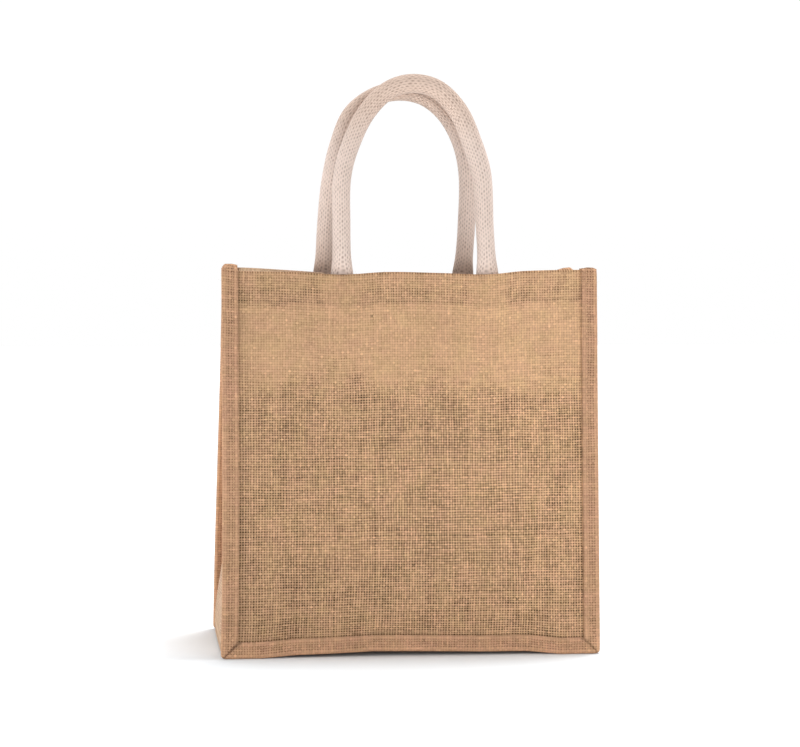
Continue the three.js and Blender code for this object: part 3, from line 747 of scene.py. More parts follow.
# %% Bindings' section
def binding_section(v, closed):
    wall = BINDING_CLOTH / 2
    front = -GAP - wall
    back = gusset_depth(v) + CLOTH / 2 + GAP + wall
    centre = (front + back) / 2
    reach = mix((back - front) / 2, wall + BINDING_CLOSED, closed)
    edge = min(BINDING_TURN, reach)
    outer = FLANGE - wall - edge - BINDING_PINCH * closed
    flat_part = []
    for q in [*BESIDE_EDGE, *steps(BESIDE_EDGE[-1], outer, BINDING_STEPS["along_fold"])[1:]]:
        turned_in = ramp(q, *TURNED_IN_STARTS) * (1 - ramp(q, *TURNED_IN_ENDS))
        flat_part.append((q, centre - reach - TURNED_IN_RISE * turned_in * (1 - closed)))
    fold = []
    for angle in FOLD_ANGLES:
        a = math.radians(angle)
        out, across = math.sin(a) ** FOLD_ROUNDNESS["out"], math.cos(a) ** FOLD_ROUNDNESS["across"]
        fold.append((outer + edge * out, centre - reach * across))
    half = flat_part + fold + [(outer + edge, centre)]
    return both_halves(half, 2 * centre)


print("binding's section:", len(binding_section(0, 0)), "points")


# %% Make the bindings
def binding(side):
    heights = steps(RIM + BINDING_RISE, BINDING_STEPS["lowest"], BINDING_STEPS["up"])
    stations = [(station, 0) for station in seam_stations(heights, MITRE_ANGLES, BINDING_STEPS["across"])]

    def closing(station, top):
        u, _, out_u, out_v = station
        return [((u, RIM + BINDING_RISE + top * share, out_u, out_v), share) for share in CLOSING_SHARES]

    left_top, right_top = FACES[side]["top_ends"]
    rows = closing(stations[0][0], left_top) + stations + closing(stations[-1][0], right_top)[::-1]
    sections = [binding_section(station[1], closed) for station, closed in rows]
    middle_section = sections[len(sections) // 2]
    outer = middle_section[len(middle_section) // 2][0]
    widths = [BINDING_EDGE + width for width in run_lengths(middle_section)]
    strip_width = widths[-1] - BINDING_EDGE + 2 * TURNED_IN
    FLAT_SIZES[f"{side}_binding"] = (strip_width, run_lengths([station for station, _ in rows])[-1])

    def past_mitre(station, q):
        """The distance of a place from the mitre's crease, above zero on the bottom strip."""
        return q * (abs(station[3]) - abs(station[2])) / math.sqrt(2)

    def point(i, j):
        (u, v, out_u, out_v), closed = rows[j]
        q, depth = sections[j][i]
        past = past_mitre(rows[j][0], q)
        on_front = 1 - ramp(i, *[len(sections[j]) * share for share in ON_FRONT])
        if out_u and out_v:
            if past < 0:
                step = -MITRE_RAISED["height"] * math.exp(past / MITRE_RAISED["fades_in"])
            else:
                step = MITRE_SUNK["depth"] * math.exp(-past / MITRE_SUNK["fades_in"])
            depth += step * on_front * ramp(q, *MITRE_FADE)
        inner_drop = TOP_INNER_DROP[side][0 if u < 0 else 1]
        drop = inner_drop * (1 - ramp(q, *TOP_INNER_FADE))
        drop += TOP_OUTER_DROP * ramp(q - outer, *TOP_OUTER_FADE)
        return place(side, u + out_u * q, v + out_v * q - closed * drop, depth)

    def flat(i, j):
        (u, v, out_u, out_v), _ = rows[j]
        return u + out_u * widths[i], v + out_v * widths[i]

    def tone(i, j):
        q = sections[j][i][0]
        value = strip_tone(q, outer)
        # Painted shade along the mitre's crease
        if rows[j][0][2] and rows[j][0][3]:
            past = past_mitre(rows[j][0], q)
            value *= 1 - MITRE_CREASE_SHADE["dark"] * line_at(past - MITRE_CREASE_SHADE["at"], MITRE_CREASE_SHADE["width"])
        u, v = flat(i, j)
        # Painted light: the back binding is lighter
        value += BINDING_PAINTED_LIGHT[side] + BINDING_TONE["foot"] * (1 - ramp(v, *BINDING_FOOT))
        # Painted light: the strip is lighter to the right
        value += BINDING_TONE["sideways"] * u / HALF_OUTLINE
        spots = blotches(u, v, BINDING_TONE["size"], BINDING_TONE["seed"])
        return value + BINDING_TONE["uneven"] * (spots - 0.5)

    def openness(i, j):
        spots = blotches(*flat(i, j), BINDING_WEAVE["size"], BINDING_WEAVE["seed"])
        return strip_open(sections[j][i][0], outer) * (0.5 + spots)

    grid = (range(len(sections[0])), range(len(rows)))
    paint = {"open": openness, "tone": tone}
    return cloth_sheet(f"{side}_binding_cloth", *grid, point, flat, BINDING_CLOTH, paint)


bindings = {side: binding(side) for side in FACES}

# %% [markdown]
# ## Handles
# A handle is a strip of cotton webbing, rolled and stitched along its length, so it is round in the hand.
# Each end is left flat. It goes down inside the hem, turns under the hem's edge and comes up again on the
# inside. The webbing is one grid, rolled up to a tube: its two long edges meet in a seam, where the points
# are merged. A curve with a bevel could make the round part, but not the flat ends, and it wouldn't keep
# the webbing's flat place.

# %% Handles
HANDLE_ROUTES = {
    "front": (
        (-50.4, -31.5, 339), (-48.8, -21.5, 380), (-41.2, -14, 406), (-27.6, -9.3, 432.6),
        (-10, -8.2, 450), (9, -8.1, 455.7), (29, -8.1, 451.3),
        (46.5, -8.8, 434), (58, -14, 406.5), (64.6, -20.5, 382), (65.7, -31.5, 339),
    ),
    "back": (
        (-58.2, 31.5, 339), (-55, 21.5, 378), (-48.8, 14, 407), (-38.6, 9.2, 431.3),
        (-20.5, 8.2, 445.4), (0, 8.1, 450.4), (20.5, 8.1, 446.8),
        (38, 8.8, 434), (51.5, 13, 413), (58.6, 20, 388), (59, 31.5, 340),
    ),
}
HANDLE_SECTION = {
    "at": (0, 0.014, 0.028, 0.05, 0.085, 0.3, 0.5, 0.7, 0.82, 0.915, 0.95, 0.972, 0.986, 1),
    "width": (18.4, 18, 16.8, 15, 14.4, 14.8, 15.5, 16.6, 15, 14.4, 15, 16.8, 18, 18.4),
    "thickness": (2.4, 2.6, 7, 12.4, 14, 14.4, 14.8, 14.8, 14.2, 14, 12.4, 7, 2.6, 2.4),
    "squareness": (4, 3.6, 2.8, 2.3, 2.2, 2.1, 2.1, 2.1, 2.1, 2.2, 2.3, 2.8, 3.6, 4),
}
HANDLE_SIDES = 48
ARCH_RINGS = 150
ROUTE_STEPS = 40
WEBBING_WIDTH = 46
TAB_SQUARENESS = 4
TAB_STEP = 4
TAB_TURNS = range(0, 181, 20)
TAB_INSIDE_HEIGHT = 11
TAB_LOW = RIM - HEM - 0.2
POCKET_DEPTH = CLOTH + GAP + TAB_THICKNESS / 2
TAB_INSIDE_DEPTH = 2 * HEM_BEHIND_TAB - POCKET_DEPTH
ROOT_DEPTH = TAB_INSIDE_DEPTH + 0.6
ROOT_HEIGHTS = (RIM - 3, RIM + 2.4)


# %% Smooth route
def smooth_route(points, count):
    """Places and directions at even steps along a centripetal Catmull-Rom curve through the points."""
    points = [Vector(p) for p in points]
    points = [2 * points[0] - points[1], *points, 2 * points[-1] - points[-2]]
    fine = []
    for p0, p1, p2, p3 in zip(points, points[1:], points[2:], points[3:]):
        d0, d1, d2 = (math.sqrt((b - a).length) for a, b in ((p0, p1), (p1, p2), (p2, p3)))
        m1 = ((p1 - p0) / d0 - (p2 - p0) / (d0 + d1) + (p2 - p1) / d1) * d1
        m2 = ((p2 - p1) / d1 - (p3 - p1) / (d1 + d2) + (p3 - p2) / d2) * d1
        for k in range(ROUTE_STEPS):
            t = k / ROUTE_STEPS
            fine.append(
                p1 * (2 * t**3 - 3 * t**2 + 1) + m1 * (t**3 - 2 * t**2 + t)
                + p2 * (3 * t**2 - 2 * t**3) + m2 * (t**3 - t**2)
            )
    fine.append(points[-2])
    lengths = run_lengths(fine, 3)
    rings = []
    k = 0
    for n in range(count + 1):
        target = lengths[-1] * n / count
        while k < len(fine) - 2 and lengths[k + 1] < target:
            k += 1
        share = (target - lengths[k]) / (lengths[k + 1] - lengths[k])
        before, after = fine[max(k - 1, 0)], fine[min(k + 2, len(fine) - 1)]
        rings.append((fine[k].lerp(fine[k + 1], share), (after - before).normalized()))
    return rings, lengths[-1]


print("front arch above the bag:", round(smooth_route(HANDLE_ROUTES["front"], ARCH_RINGS)[1]), "mm")


# %% Make the handles
def handle_ring(angle, squareness):
    c, s = math.cos(angle), math.sin(angle)
    power = 2 / squareness
    return math.copysign(abs(c) ** power, c) / 2, math.copysign(abs(s) ** power, s) / 2


def handle(side):
    face = FACES[side]
    left, right = face["tabs"]
    radius = HEM_BEHIND_TAB - POCKET_DEPTH

    def root(tab):
        return [place(side, tab, height, ROOT_DEPTH) / MM for height in ROOT_HEIGHTS]

    shift = Vector((CENTRE_X, 0, 0))
    route = [Vector(p) - shift for p in HANDLE_ROUTES[side]]
    points = [*root(left), *route, *reversed(root(right))]
    rings, length = smooth_route(points, ARCH_RINGS)
    tab_steps = [(v, POCKET_DEPTH, 0) for v in steps(RIM - TAB_STEP, TAB_LOW + TAB_STEP / 2, TAB_STEP)]
    for turn in TAB_TURNS:
        a = math.radians(turn)
        tab_steps.append((TAB_LOW - radius * math.sin(a), HEM_BEHIND_TAB - radius * math.cos(a), turn))
    inside_heights = steps(TAB_LOW + TAB_STEP, TAB_LOW + TAB_INSIDE_HEIGHT, TAB_STEP)
    tab_steps += [(v, TAB_INSIDE_DEPTH, 180) for v in inside_heights]
    rows = [("tab", left, 1, *step) for step in tab_steps]
    rows += [("arch", n) for n in range(len(rings))]
    rows += [("tab", right, -1, *step) for step in reversed(tab_steps)]
    inwards_way = Vector((0, -face["sign"], 0))

    def point(i, j):
        row = rows[j]
        angle = 2 * math.pi * (i + 0.5) / HANDLE_SIDES
        if row[0] == "tab":
            _, tab, inwards, v, depth, turn = row
            w, t = handle_ring(angle, TAB_SQUARENESS)
            w, t = w * TAB_WIDTH * inwards, -t * TAB_THICKNESS
            c, s = math.cos(math.radians(turn)), math.sin(math.radians(turn))
            return place(side, tab + w, v + t * s, depth + t * c)
        centre, along = rings[row[1]]
        at = row[1] / (len(rings) - 1)
        w, t = handle_ring(angle, curve(HANDLE_SECTION["at"], HANDLE_SECTION["squareness"], at))
        w *= curve(HANDLE_SECTION["at"], HANDLE_SECTION["width"], at)
        t *= curve(HANDLE_SECTION["at"], HANDLE_SECTION["thickness"], at)
        through = (inwards_way - along * inwards_way.dot(along)).normalized()
        across = along.cross(Vector((0, -1, 0))).normalized()
        return (centre + across * w + through * t) * MM

    travelled = run_lengths([point(0, j) / MM for j in range(len(rows))], 3)

    def flat(i, j):
        return i * WEBBING_WIDTH / HANDLE_SIDES, travelled[j]

    grid = (range(HANDLE_SIDES + 1), range(len(rows)))
    tube, _ = placed_grid(f"{side}_handle_webbing", *grid, point, flat)
    turn_faces_outwards(merged=True)
    bpy.ops.object.shade_smooth_by_angle(angle=SMOOTH_BELOW)
    print(tube.name, "arch", round(length), "mm", len(tube.data.polygons), "faces")
    return tube


handles = {side: handle(side) for side in FACES}

# %% [markdown]
# ## Stitches
# A row of short stitches in jute-coloured thread holds each binding, a little outside its inner edge. One
# stitch is modelled, a sphere drawn out along the thread, and each copy of it is half sunk in the cloth. A
# bump could draw the stitches on the cloth, but real ones stand up from it and are part of the shape.

# %% Stitches
STITCH_LENGTH = 2.7
STITCH_PITCH = 3.6
STITCH_THICKNESS = 0.75
STITCH_ROW = 4.4
STITCH_SUNK = 0.12
SPHERE = {"segments": 8, "ring_count": 6, "radius": 0.5}


def stitch_places():
    """The middles of the stitches on the flat front or back, each with the way of its row."""
    low = FLANGE - STITCH_ROW
    wide = SEAM + STITCH_ROW
    heights = steps(low + STITCH_PITCH, RIM - 1, STITCH_PITCH)
    sides = [(sign * wide, v, 0, 1) for sign in (-1, 1) for v in heights]
    bottom = [(u, low, 1, 0) for u in steps(-wide + STITCH_PITCH, wide - STITCH_PITCH, STITCH_PITCH)]
    return sides + bottom


print("stitches on each side:", len(stitch_places()))


# %% Copies joined in one piece
def joined_copies(name, first, places):
    """One piece made of copies of a small form, each with its points carried to their place."""
    pattern = [vertex.co.copy() for vertex in first.data.vertices]
    copies = []
    for carry in places:
        copy = first.copy()
        copy.data = first.data.copy()
        bpy.context.collection.objects.link(copy)
        for vertex, p in zip(copy.data.vertices, pattern):
            vertex.co = carry(p)
        copies.append(copy)
    bpy.data.objects.remove(first)
    bpy.ops.object.select_all(action="DESELECT")
    for copy in copies:
        copy.select_set(True)
    bpy.context.view_layer.objects.active = copies[0]
    bpy.ops.object.join()
    piece = bpy.context.object
    piece.name = name
    turn_faces_outwards()
    bpy.ops.object.shade_smooth()
    print(name, len(copies), "copies", len(piece.data.polygons), "faces")
    return piece


# %% Make the stitches
def stitch_form(side, u, v, along_u, along_v):
    """Carries a unit sphere to a stitch."""
    half = STITCH_LENGTH / 2
    depth = -GAP - BINDING_CLOTH + STITCH_SUNK
    start = place(side, u - along_u * half, v - along_v * half, depth)
    end = place(side, u + along_u * half, v + along_v * half, depth)
    along = (end - start).normalized()
    out = Vector((0, FACES[side]["sign"], 0))
    out = (out - along * out.dot(along)).normalized()
    across = along.cross(out)

    def carry(p):
        thick = (across * p.x + out * p.y) * STITCH_THICKNESS
        return (start + end) / 2 + (along * p.z * STITCH_LENGTH + thick) * MM

    return carry


def stitch_row(side):
    bpy.ops.object.select_all(action="DESELECT")
    bpy.ops.mesh.primitive_uv_sphere_add(**SPHERE)
    places = [stitch_form(side, *where) for where in stitch_places()]
    return joined_copies(f"{side}_binding_stitches", bpy.context.object, places)


stitch_rows = {side: stitch_row(side) for side in FACES}

# %% [markdown]
# ## Stray fibres
# Jute is hairy: short fibre ends stand out of the thread everywhere. Hair could grow on the sheets, but
# then they would carry too many. So a few fibres are placed one by one. Each starts as a small disc that is
# extruded a few times, and each copy is thinned and bent its own way.

# %% Stray fibres
FIBRE_COUNT = 120
FIBRE_LENGTHS = (1, 2.6)
FIBRE_RADIUS = 0.09
FIBRE_THINS = 0.7
FIBRE_PARTS = 6
FIBRE_ROOT = 0.5
FIBRE_BEND = 0.6
FIBRE_SEEDS = {"front": 17, "back": 29}
FIBRE_FLATTENED = 0.3
FIBRE_KINDS = {
    "side": {"below": 0.5, "way": (1, 0.3, 0.1), "depth": 1.5, "part": 1},
    "rim": {"below": 0.7, "way": (0, 0.3, 1.1), "depth": 1.5, "part": 1},
    "face": {"below": 1, "way": (0, 1, 0.1), "depth": 0.1, "part": 0.6},
}
FACE_HEIGHTS = (20, RIM - 10)
BINDING_REACH = FLANGE - BINDING_EDGE


def fibre_form(root, out, length, curl):
    """Carries an upright unit tube to a fibre that leaves root in the way out and bends towards curl."""
    side_way = out.orthogonal().normalized()
    other_way = out.cross(side_way)

    def carry(p):
        middle = root + (out * p.z + curl * p.z**2) * length * MM
        radius = (1 - FIBRE_THINS * p.z) * FIBRE_RADIUS * MM
        return middle + (side_way * p.x + other_way * p.y) * radius

    return carry


def fibre_root(side, luck):
    """Where a fibre leaves the bag, the way it leaves, and its share of a full length."""
    spot = luck.random()
    share = luck.uniform(-1, 1)
    where = next(name for name, kind in FIBRE_KINDS.items() if spot < kind["below"])
    if where == "side":
        u, v = math.copysign(SEAM + BINDING_REACH, share), RIM * abs(share)
    elif where == "rim":
        u, v = share * SEAM, RIM + FIBRE_ROOT
    else:
        u, v = share * SEAM, luck.uniform(*FACE_HEIGHTS)
    kind = FIBRE_KINDS[where]
    across, out, up = kind["way"]
    way = Vector((math.copysign(across, share), FACES[side]["sign"] * out, up)).normalized()
    return place(side, u, v, kind["depth"]) - way * FIBRE_ROOT * MM, way, kind["part"]


# %% Make the fibres
def stray_fibres(side):
    luck = random.Random(FIBRE_SEEDS[side])
    bpy.ops.object.select_all(action="DESELECT")
    bpy.ops.mesh.primitive_circle_add(vertices=4, radius=1, fill_type="NGON")
    bpy.ops.object.mode_set(mode="EDIT")
    bpy.ops.mesh.select_all(action="SELECT")
    for _ in range(FIBRE_PARTS):
        bpy.ops.mesh.extrude_region_move(TRANSFORM_OT_translate={"value": (0, 0, 1 / FIBRE_PARTS)})
    bpy.ops.object.mode_set(mode="OBJECT")
    places = []
    for _ in range(FIBRE_COUNT):
        root, way, part = fibre_root(side, luck)
        curl = Vector([luck.uniform(-FIBRE_BEND, FIBRE_BEND) for _ in range(3)])
        curl.y = FACES[side]["sign"] * abs(curl.y) * FIBRE_FLATTENED
        places.append(fibre_form(root, way, luck.uniform(*FIBRE_LENGTHS) * part, curl))
    return joined_copies(f"{side}_stray_fibres", bpy.context.object, places)


fibres = {side: stray_fibres(side) for side in FACES}

# %% [markdown]
# ## Shader nodes
# All materials are built from Blender's shader nodes. One function adds a node of any kind with its
# settings and links, so a material reads like a recipe. The other helpers make the material with its matt
# shader, turn a colour to the values that shaders use, and count stripes.


# %% Add a node
def feed(socket, value):
    """Gives a socket a value, or links it to an output or to a node's first output."""
    if isinstance(value, bpy.types.Node):
        value = next(output for output in value.outputs if output.enabled)
    if isinstance(value, bpy.types.NodeSocket):
        socket.id_data.links.new(value, socket)
    else:
        socket.default_value = value


def feed_all(node, **values):
    for name, value in values.items():
        feed(node.inputs[name.replace("_", " ")], value)


def add_node(tree, kind, *inputs, **named):
    """A new node. Inputs come in their order, or by name with a capital, and settings by name without one."""
    node = tree.nodes.new("ShaderNode" + kind)
    for name in [name for name in named if name[0].islower()]:
        setattr(node, name, named.pop(name))
    feed_all(node, **named)
    for socket, value in zip([socket for socket in node.inputs if socket.enabled], inputs):
        feed(socket, value)
    return node


# %% Start a material
def new_material(name):
    """A material, a function that adds nodes to it, and its shader."""
    material = bpy.data.materials.new(name)
    material.use_nodes = True
    material.node_tree.nodes.clear()
    add = partial(add_node, material.node_tree)
    shader = add("BsdfPrincipled")
    add("OutputMaterial", Surface=shader)
    return material, add, shader


# %% Colours and stripes
def linear(hex_colour):
    """A colour given as sRGB hex, such as C59A6B, in the linear values that the shaders use."""
    values = []
    for i in (0, 2, 4):
        c = int(hex_colour[i:i + 2], 16) / 255
        values.append(c / 12.92 if c <= 0.04045 else ((c + 0.055) / 1.055) ** 2.4)
    return (*values, 1)


print("white is", linear("FFFFFF"))


def bands(add, count):
    """One at every whole count, and nought halfway between."""
    turn = add("Math", count, 2 * math.pi, operation="MULTIPLY")
    return add("Math", add("Math", turn, operation="COSINE"), 0.5, 0.5, operation="MULTIPLY_ADD")


# %% [markdown]
# ## Jute
# Jute is spun from coarse golden fibre and woven plainly: each thread goes over one and under the next. The
# threads are uneven, some thick and pale, some thin, and small holes show between them. The weave is worked
# out in the material from the sheet's flat place in metres, in real thread spacings. The holes are painted
# dark, as painted shade of the bag's inside seen through them, more so in some places. The threads are
# painted lighter where they stand high and darker where they dip, as painted shade of the relief, and a few
# thread tops carry a painted glint. The threads' edges are soft, because a render at this size blurs a sharp
# fine weave into stripes. Jute is matt, so its roughness is high and its gloss low.

# %% Thread sizes
WARP_PITCH = 2.12
WEFT_PITCH = 2.02
WARP_HALF = {"closed": 0.45, "opened": 0.22}
WEFT_HALF = {"closed": 0.5, "opened": 0.22}
COUNT_START = 400.5
WARP_SEED = 11.3
WEFT_SEED = 47.9
WANDER = {"size": 45, "threads": 1.1}
EDGE_SOFTNESS = 0.25
THREAD_LUCK = {"width": 0.06, "shade": 0.1, "shift": 0.2}
SLUB = {"apart": 7.31, "along": 0.16, "width": 0.25, "shade": 0.55}
THREAD_LEVEL = {"base": 0.32, "round": 0.4, "crossing": 0.24}


# %% One set of parallel threads
def thread_set(add, place, along, over_first, half_widths, open_share, seed):
    """Cover, height and shade of threads. Place counts them, and along counts the threads they cross."""
    index = add("Math", place, operation="FLOOR")
    lane = add("TexWhiteNoise", add("Math", index, seed, operation="ADD"), noise_dimensions="1D")
    own = add("SeparateXYZ", lane.outputs["Color"])
    shift = THREAD_LUCK["shift"]
    centre = add("Math", own.outputs["X"], shift, -0.5 - shift / 2, operation="MULTIPLY_ADD")
    across = add("Math", add("Math", place, operation="FRACT"), centre, operation="ADD")
    across = add("Math", across, operation="ABSOLUTE")

    lane = add("Math", index, SLUB["apart"], operation="MULTIPLY")
    length = add("Math", along, SLUB["along"], operation="MULTIPLY")
    slub = add("TexNoise", add("CombineXYZ", lane, length, seed), Scale=1.0, Detail=3.0, Roughness=0.6)
    slub = add("Math", slub, 0.5, operation="SUBTRACT")

    opens = half_widths["opened"] - half_widths["closed"]
    least = half_widths["closed"] - THREAD_LUCK["width"] / 2
    half = add("Math", open_share, opens, least, operation="MULTIPLY_ADD")
    half = add("Math", own.outputs["Y"], THREAD_LUCK["width"], half, operation="MULTIPLY_ADD")
    half = add("Math", slub, SLUB["width"], half, operation="MULTIPLY_ADD")
    inside = add("Math", half, across, operation="SUBTRACT")
    cover = add("MapRange", inside, -EDGE_SOFTNESS, EDGE_SOFTNESS, 0.0, 1.0, interpolation_type="SMOOTHSTEP")

    round_top = add("Math", add("Math", across, half, operation="DIVIDE"), 2.0, operation="POWER")
    round_top = add("Math", 1.0, round_top, operation="SUBTRACT", use_clamp=True)
    level = add("Math", round_top, THREAD_LEVEL["round"], THREAD_LEVEL["base"], operation="MULTIPLY_ADD")
    crossed = add("Math", add("Math", along, 0.5, operation="SUBTRACT"), math.pi, operation="MULTIPLY")
    counted = add("Math", index, math.pi, operation="MULTIPLY")
    over = [add("Math", angle, operation="COSINE") for angle in (counted, crossed)]
    over = add("Math", *over, operation="MULTIPLY")
    level = add("Math", over, THREAD_LEVEL["crossing"] * over_first, level, operation="MULTIPLY_ADD")
    height = add("Math", level, cover, operation="MULTIPLY")

    luck = THREAD_LUCK["shade"]
    shade = add("Math", own.outputs["Z"], luck, 1 - luck / 2, operation="MULTIPLY_ADD")
    shade = add("Math", slub, SLUB["shade"], shade, operation="MULTIPLY_ADD")
    return cover, height, shade


# %% What chance does to the weave
# Painted glints: a few thread tops are painted lighter
FLECK_GLINT = {"chance": 0.03, "light": 0.25}
BARK = {"chance": 0.0004, "dark": -0.4}
CROSSING_LUCK = (0.2, 0.17)
# How dark the holes are painted, as painted shade of what shows through them
HOLE_SHADE = {"luck": 1.0, "least": 0.7}
FIBRE_GRAIN = {"size": 0.35, "depth": 0.44}
# Painted shade of the weave's relief: thread tops lighter, the dips darker
RELIEF_SHADE = {"height": 0.54, "middle": 0.36}
PATCH_SIZE = 17
PATCH_FROM_TO = (0.35, 0.65)
PATCH_COLOURS = ("FFFAFA", "FAFBF3")
FIBRE_RELIEF = 0.35
JUTE_BUMP = {"Strength": 0.3, "Distance": 0.5 * MM}
JUTE_SURFACE = {"Roughness": 0.88, "Specular_IOR_Level": 0.15}


# %% Both sets of threads
def jute_weave(add, uv, open_share):
    """Cover, height, the warp and weft counts and the shade of the topmost thread."""
    flat = add("SeparateXYZ", uv)
    wander = add("TexNoise", uv, Scale=1 / (WANDER["size"] * MM), Detail=2.0, Roughness=0.5)
    wander = add("SeparateXYZ", wander.outputs["Color"])
    counts = []
    for axis, pitch in (("X", WARP_PITCH), ("Y", WEFT_PITCH)):
        count = add("Math", flat.outputs[axis], 1 / (pitch * MM), COUNT_START, operation="MULTIPLY_ADD")
        counts.append(add("Math", wander.outputs[axis], WANDER["threads"], count, operation="MULTIPLY_ADD"))
    warp = thread_set(add, *counts, 1, WARP_HALF, open_share, WARP_SEED)
    weft = thread_set(add, *reversed(counts), -1, WEFT_HALF, open_share, WEFT_SEED)
    bare = [add("Math", 1.0, cover, operation="SUBTRACT") for cover in (warp[0], weft[0])]
    covered = add("Math", 1.0, add("Math", *bare, operation="MULTIPLY"), operation="SUBTRACT")
    top = add("Math", warp[1], weft[1], operation="MAXIMUM")
    warp_on_top = add("Math", warp[1], weft[1], operation="GREATER_THAN")
    shade = add("Mix", warp_on_top, weft[2], warp[2], data_type="FLOAT")
    return covered, top, counts, shade


# %% Woven jute
def woven_jute(name, thread_colour, lit_hole_colour, shaded_hole_colour):
    material, add, shader = new_material(name)
    uv = add("UVMap", uv_map="Cloth")
    open_share = add("Attribute", attribute_name="open").outputs["Fac"]
    tone = add("Attribute", attribute_name="tone").outputs["Fac"]
    covered, top, counts, shade = jute_weave(add, uv, open_share)

    cell = add("CombineXYZ", *[add("Math", count, operation="FLOOR") for count in counts])
    luck = add("SeparateXYZ", add("TexWhiteNoise", cell, noise_dimensions="2D").outputs["Color"])
    # Painted glints on a few thread tops
    glint = add("Math", luck.outputs["X"], 1 - FLECK_GLINT["chance"], operation="GREATER_THAN")
    glint = add("Math", glint, luck.outputs["Z"], operation="MULTIPLY")
    glint = add("Math", glint, top, operation="MULTIPLY")
    bark = add("Math", luck.outputs["Y"], 1 - BARK["chance"], operation="GREATER_THAN")
    fibre = add("TexNoise", uv, Scale=1 / (FIBRE_GRAIN["size"] * MM), Detail=2.0)
    fibre = add("Math", fibre, FIBRE_GRAIN["depth"], -FIBRE_GRAIN["depth"] / 2, operation="MULTIPLY_ADD")

    grain = add("Math", fibre, RELIEF_SHADE["middle"], operation="SUBTRACT")
    shade = add("Math", shade, grain, operation="ADD")
    # Painted shade of the relief: lighter where the threads stand highest
    shade = add("Math", top, RELIEF_SHADE["height"], shade, operation="MULTIPLY_ADD")
    shade = add("Math", glint, FLECK_GLINT["light"], shade, operation="MULTIPLY_ADD")
    shade = add("Math", bark, BARK["dark"], shade, operation="MULTIPLY_ADD")
    uneven = add("Math", open_share, *CROSSING_LUCK, operation="MULTIPLY_ADD")
    own = add("Math", luck.outputs["Z"], 0.5, operation="SUBTRACT")
    shade = add("Math", own, uneven, shade, operation="MULTIPLY_ADD")
    threads = add("VectorMath", linear(thread_colour)[:3], shade, operation="SCALE")

    # Painted shade in the holes: darker where the weave is looser
    depth = add("Math", luck.outputs["Y"], HOLE_SHADE["luck"], HOLE_SHADE["least"], operation="MULTIPLY_ADD")
    depth = add("Math", open_share, depth, operation="MULTIPLY", use_clamp=True)
    hole = add("Mix", depth, linear(lit_hole_colour), linear(shaded_hole_colour), data_type="RGBA")
    colour = add("Mix", covered, hole, threads, data_type="RGBA")
    patches = add("TexNoise", uv, Scale=1 / (PATCH_SIZE * MM), Detail=3.0, Roughness=0.6)
    patches = add("MapRange", patches, *PATCH_FROM_TO, 0.0, 1.0)
    patches = add("Mix", patches, *[linear(patch) for patch in PATCH_COLOURS], data_type="RGBA")
    colour = add("Mix", 1.0, colour, patches, data_type="RGBA", blend_type="MULTIPLY")
    colour = add("VectorMath", colour, tone, operation="SCALE")
    surface = add("Math", fibre, FIBRE_RELIEF, top, operation="MULTIPLY_ADD")
    bump = add("Bump", Height=surface, **JUTE_BUMP)
    feed_all(shader, Base_Color=colour, Normal=bump, **JUTE_SURFACE)
    return material


# Each jute takes a thread colour, a lit hole colour and a hole colour in painted shade
jute = woven_jute("natural_jute", "BB9776", "8A5E38", "2A1404")
binding_jute = woven_jute("binding_jute", "B08A6E", "865C3E", "3A2010")
# The gusset's jute is paler, as painted light that lifts the shaded strip at the bag's sides
gusset_jute_painted_light = woven_jute("gusset_jute_painted_light", "C5A68C", "8A5E38", "2A1404")
print("weave:", WARP_PITCH, "x", WEFT_PITCH, "mm")

# %% [markdown]
# ## Cotton webbing
# The webbing is thick off-white cotton in a herringbone twill. Its lengthwise yarns stand out as rounded
# ribs, and where a crosswise yarn dips between two of them a small dark slit shows. The slits step sideways
# from yarn to yarn, first one way and then the other. The slits are painted dark and the ribs lighter on top,
# as painted shade of the relief, and a line of painted shade runs along the seam. The yarns are drawn a
# little coarser than real ones, so that they show. Cotton is matt with a faint sheen of loose fibre.

# %% Yarn sizes
YARN_PITCH = 1.84
FLOAT_LENGTH = 3.6
FLOAT_STEP = 0.45
YARNS_IN_BAND = 5
YARN_START = 40.0
YARN_WANDER = {"size": 9, "yarns": 0.7, "floats": 0.8}
# Painted shade: the slits between the ribs are dark
SLIT = {"luck": 0.8, "least": 0.6, "dark": 0.45, "sunk": 0.6}
RIB_DEPTH = 0.25
MOTTLE = {"size": 5, "depth": 0.16}
FUZZ = {"size": 0.3, "depth": 0.1, "height": 0.15}
# Painted shade of the relief: the ribs are lighter on top
COTTON_SHADE = {"height": 0.16, "least": 0.8}
# Painted shade along the webbing's seam, where a groove would be
SEAM_GROOVE_SHADE = {"from": 0.3, "to": 1.3, "dark": 0.4}
COTTON_BUMP = {"Strength": 0.7, "Distance": 0.4 * MM}
COTTON_SURFACE = {"Roughness": 0.9, "Specular_IOR_Level": 0.2, "Sheen_Weight": 0.1}


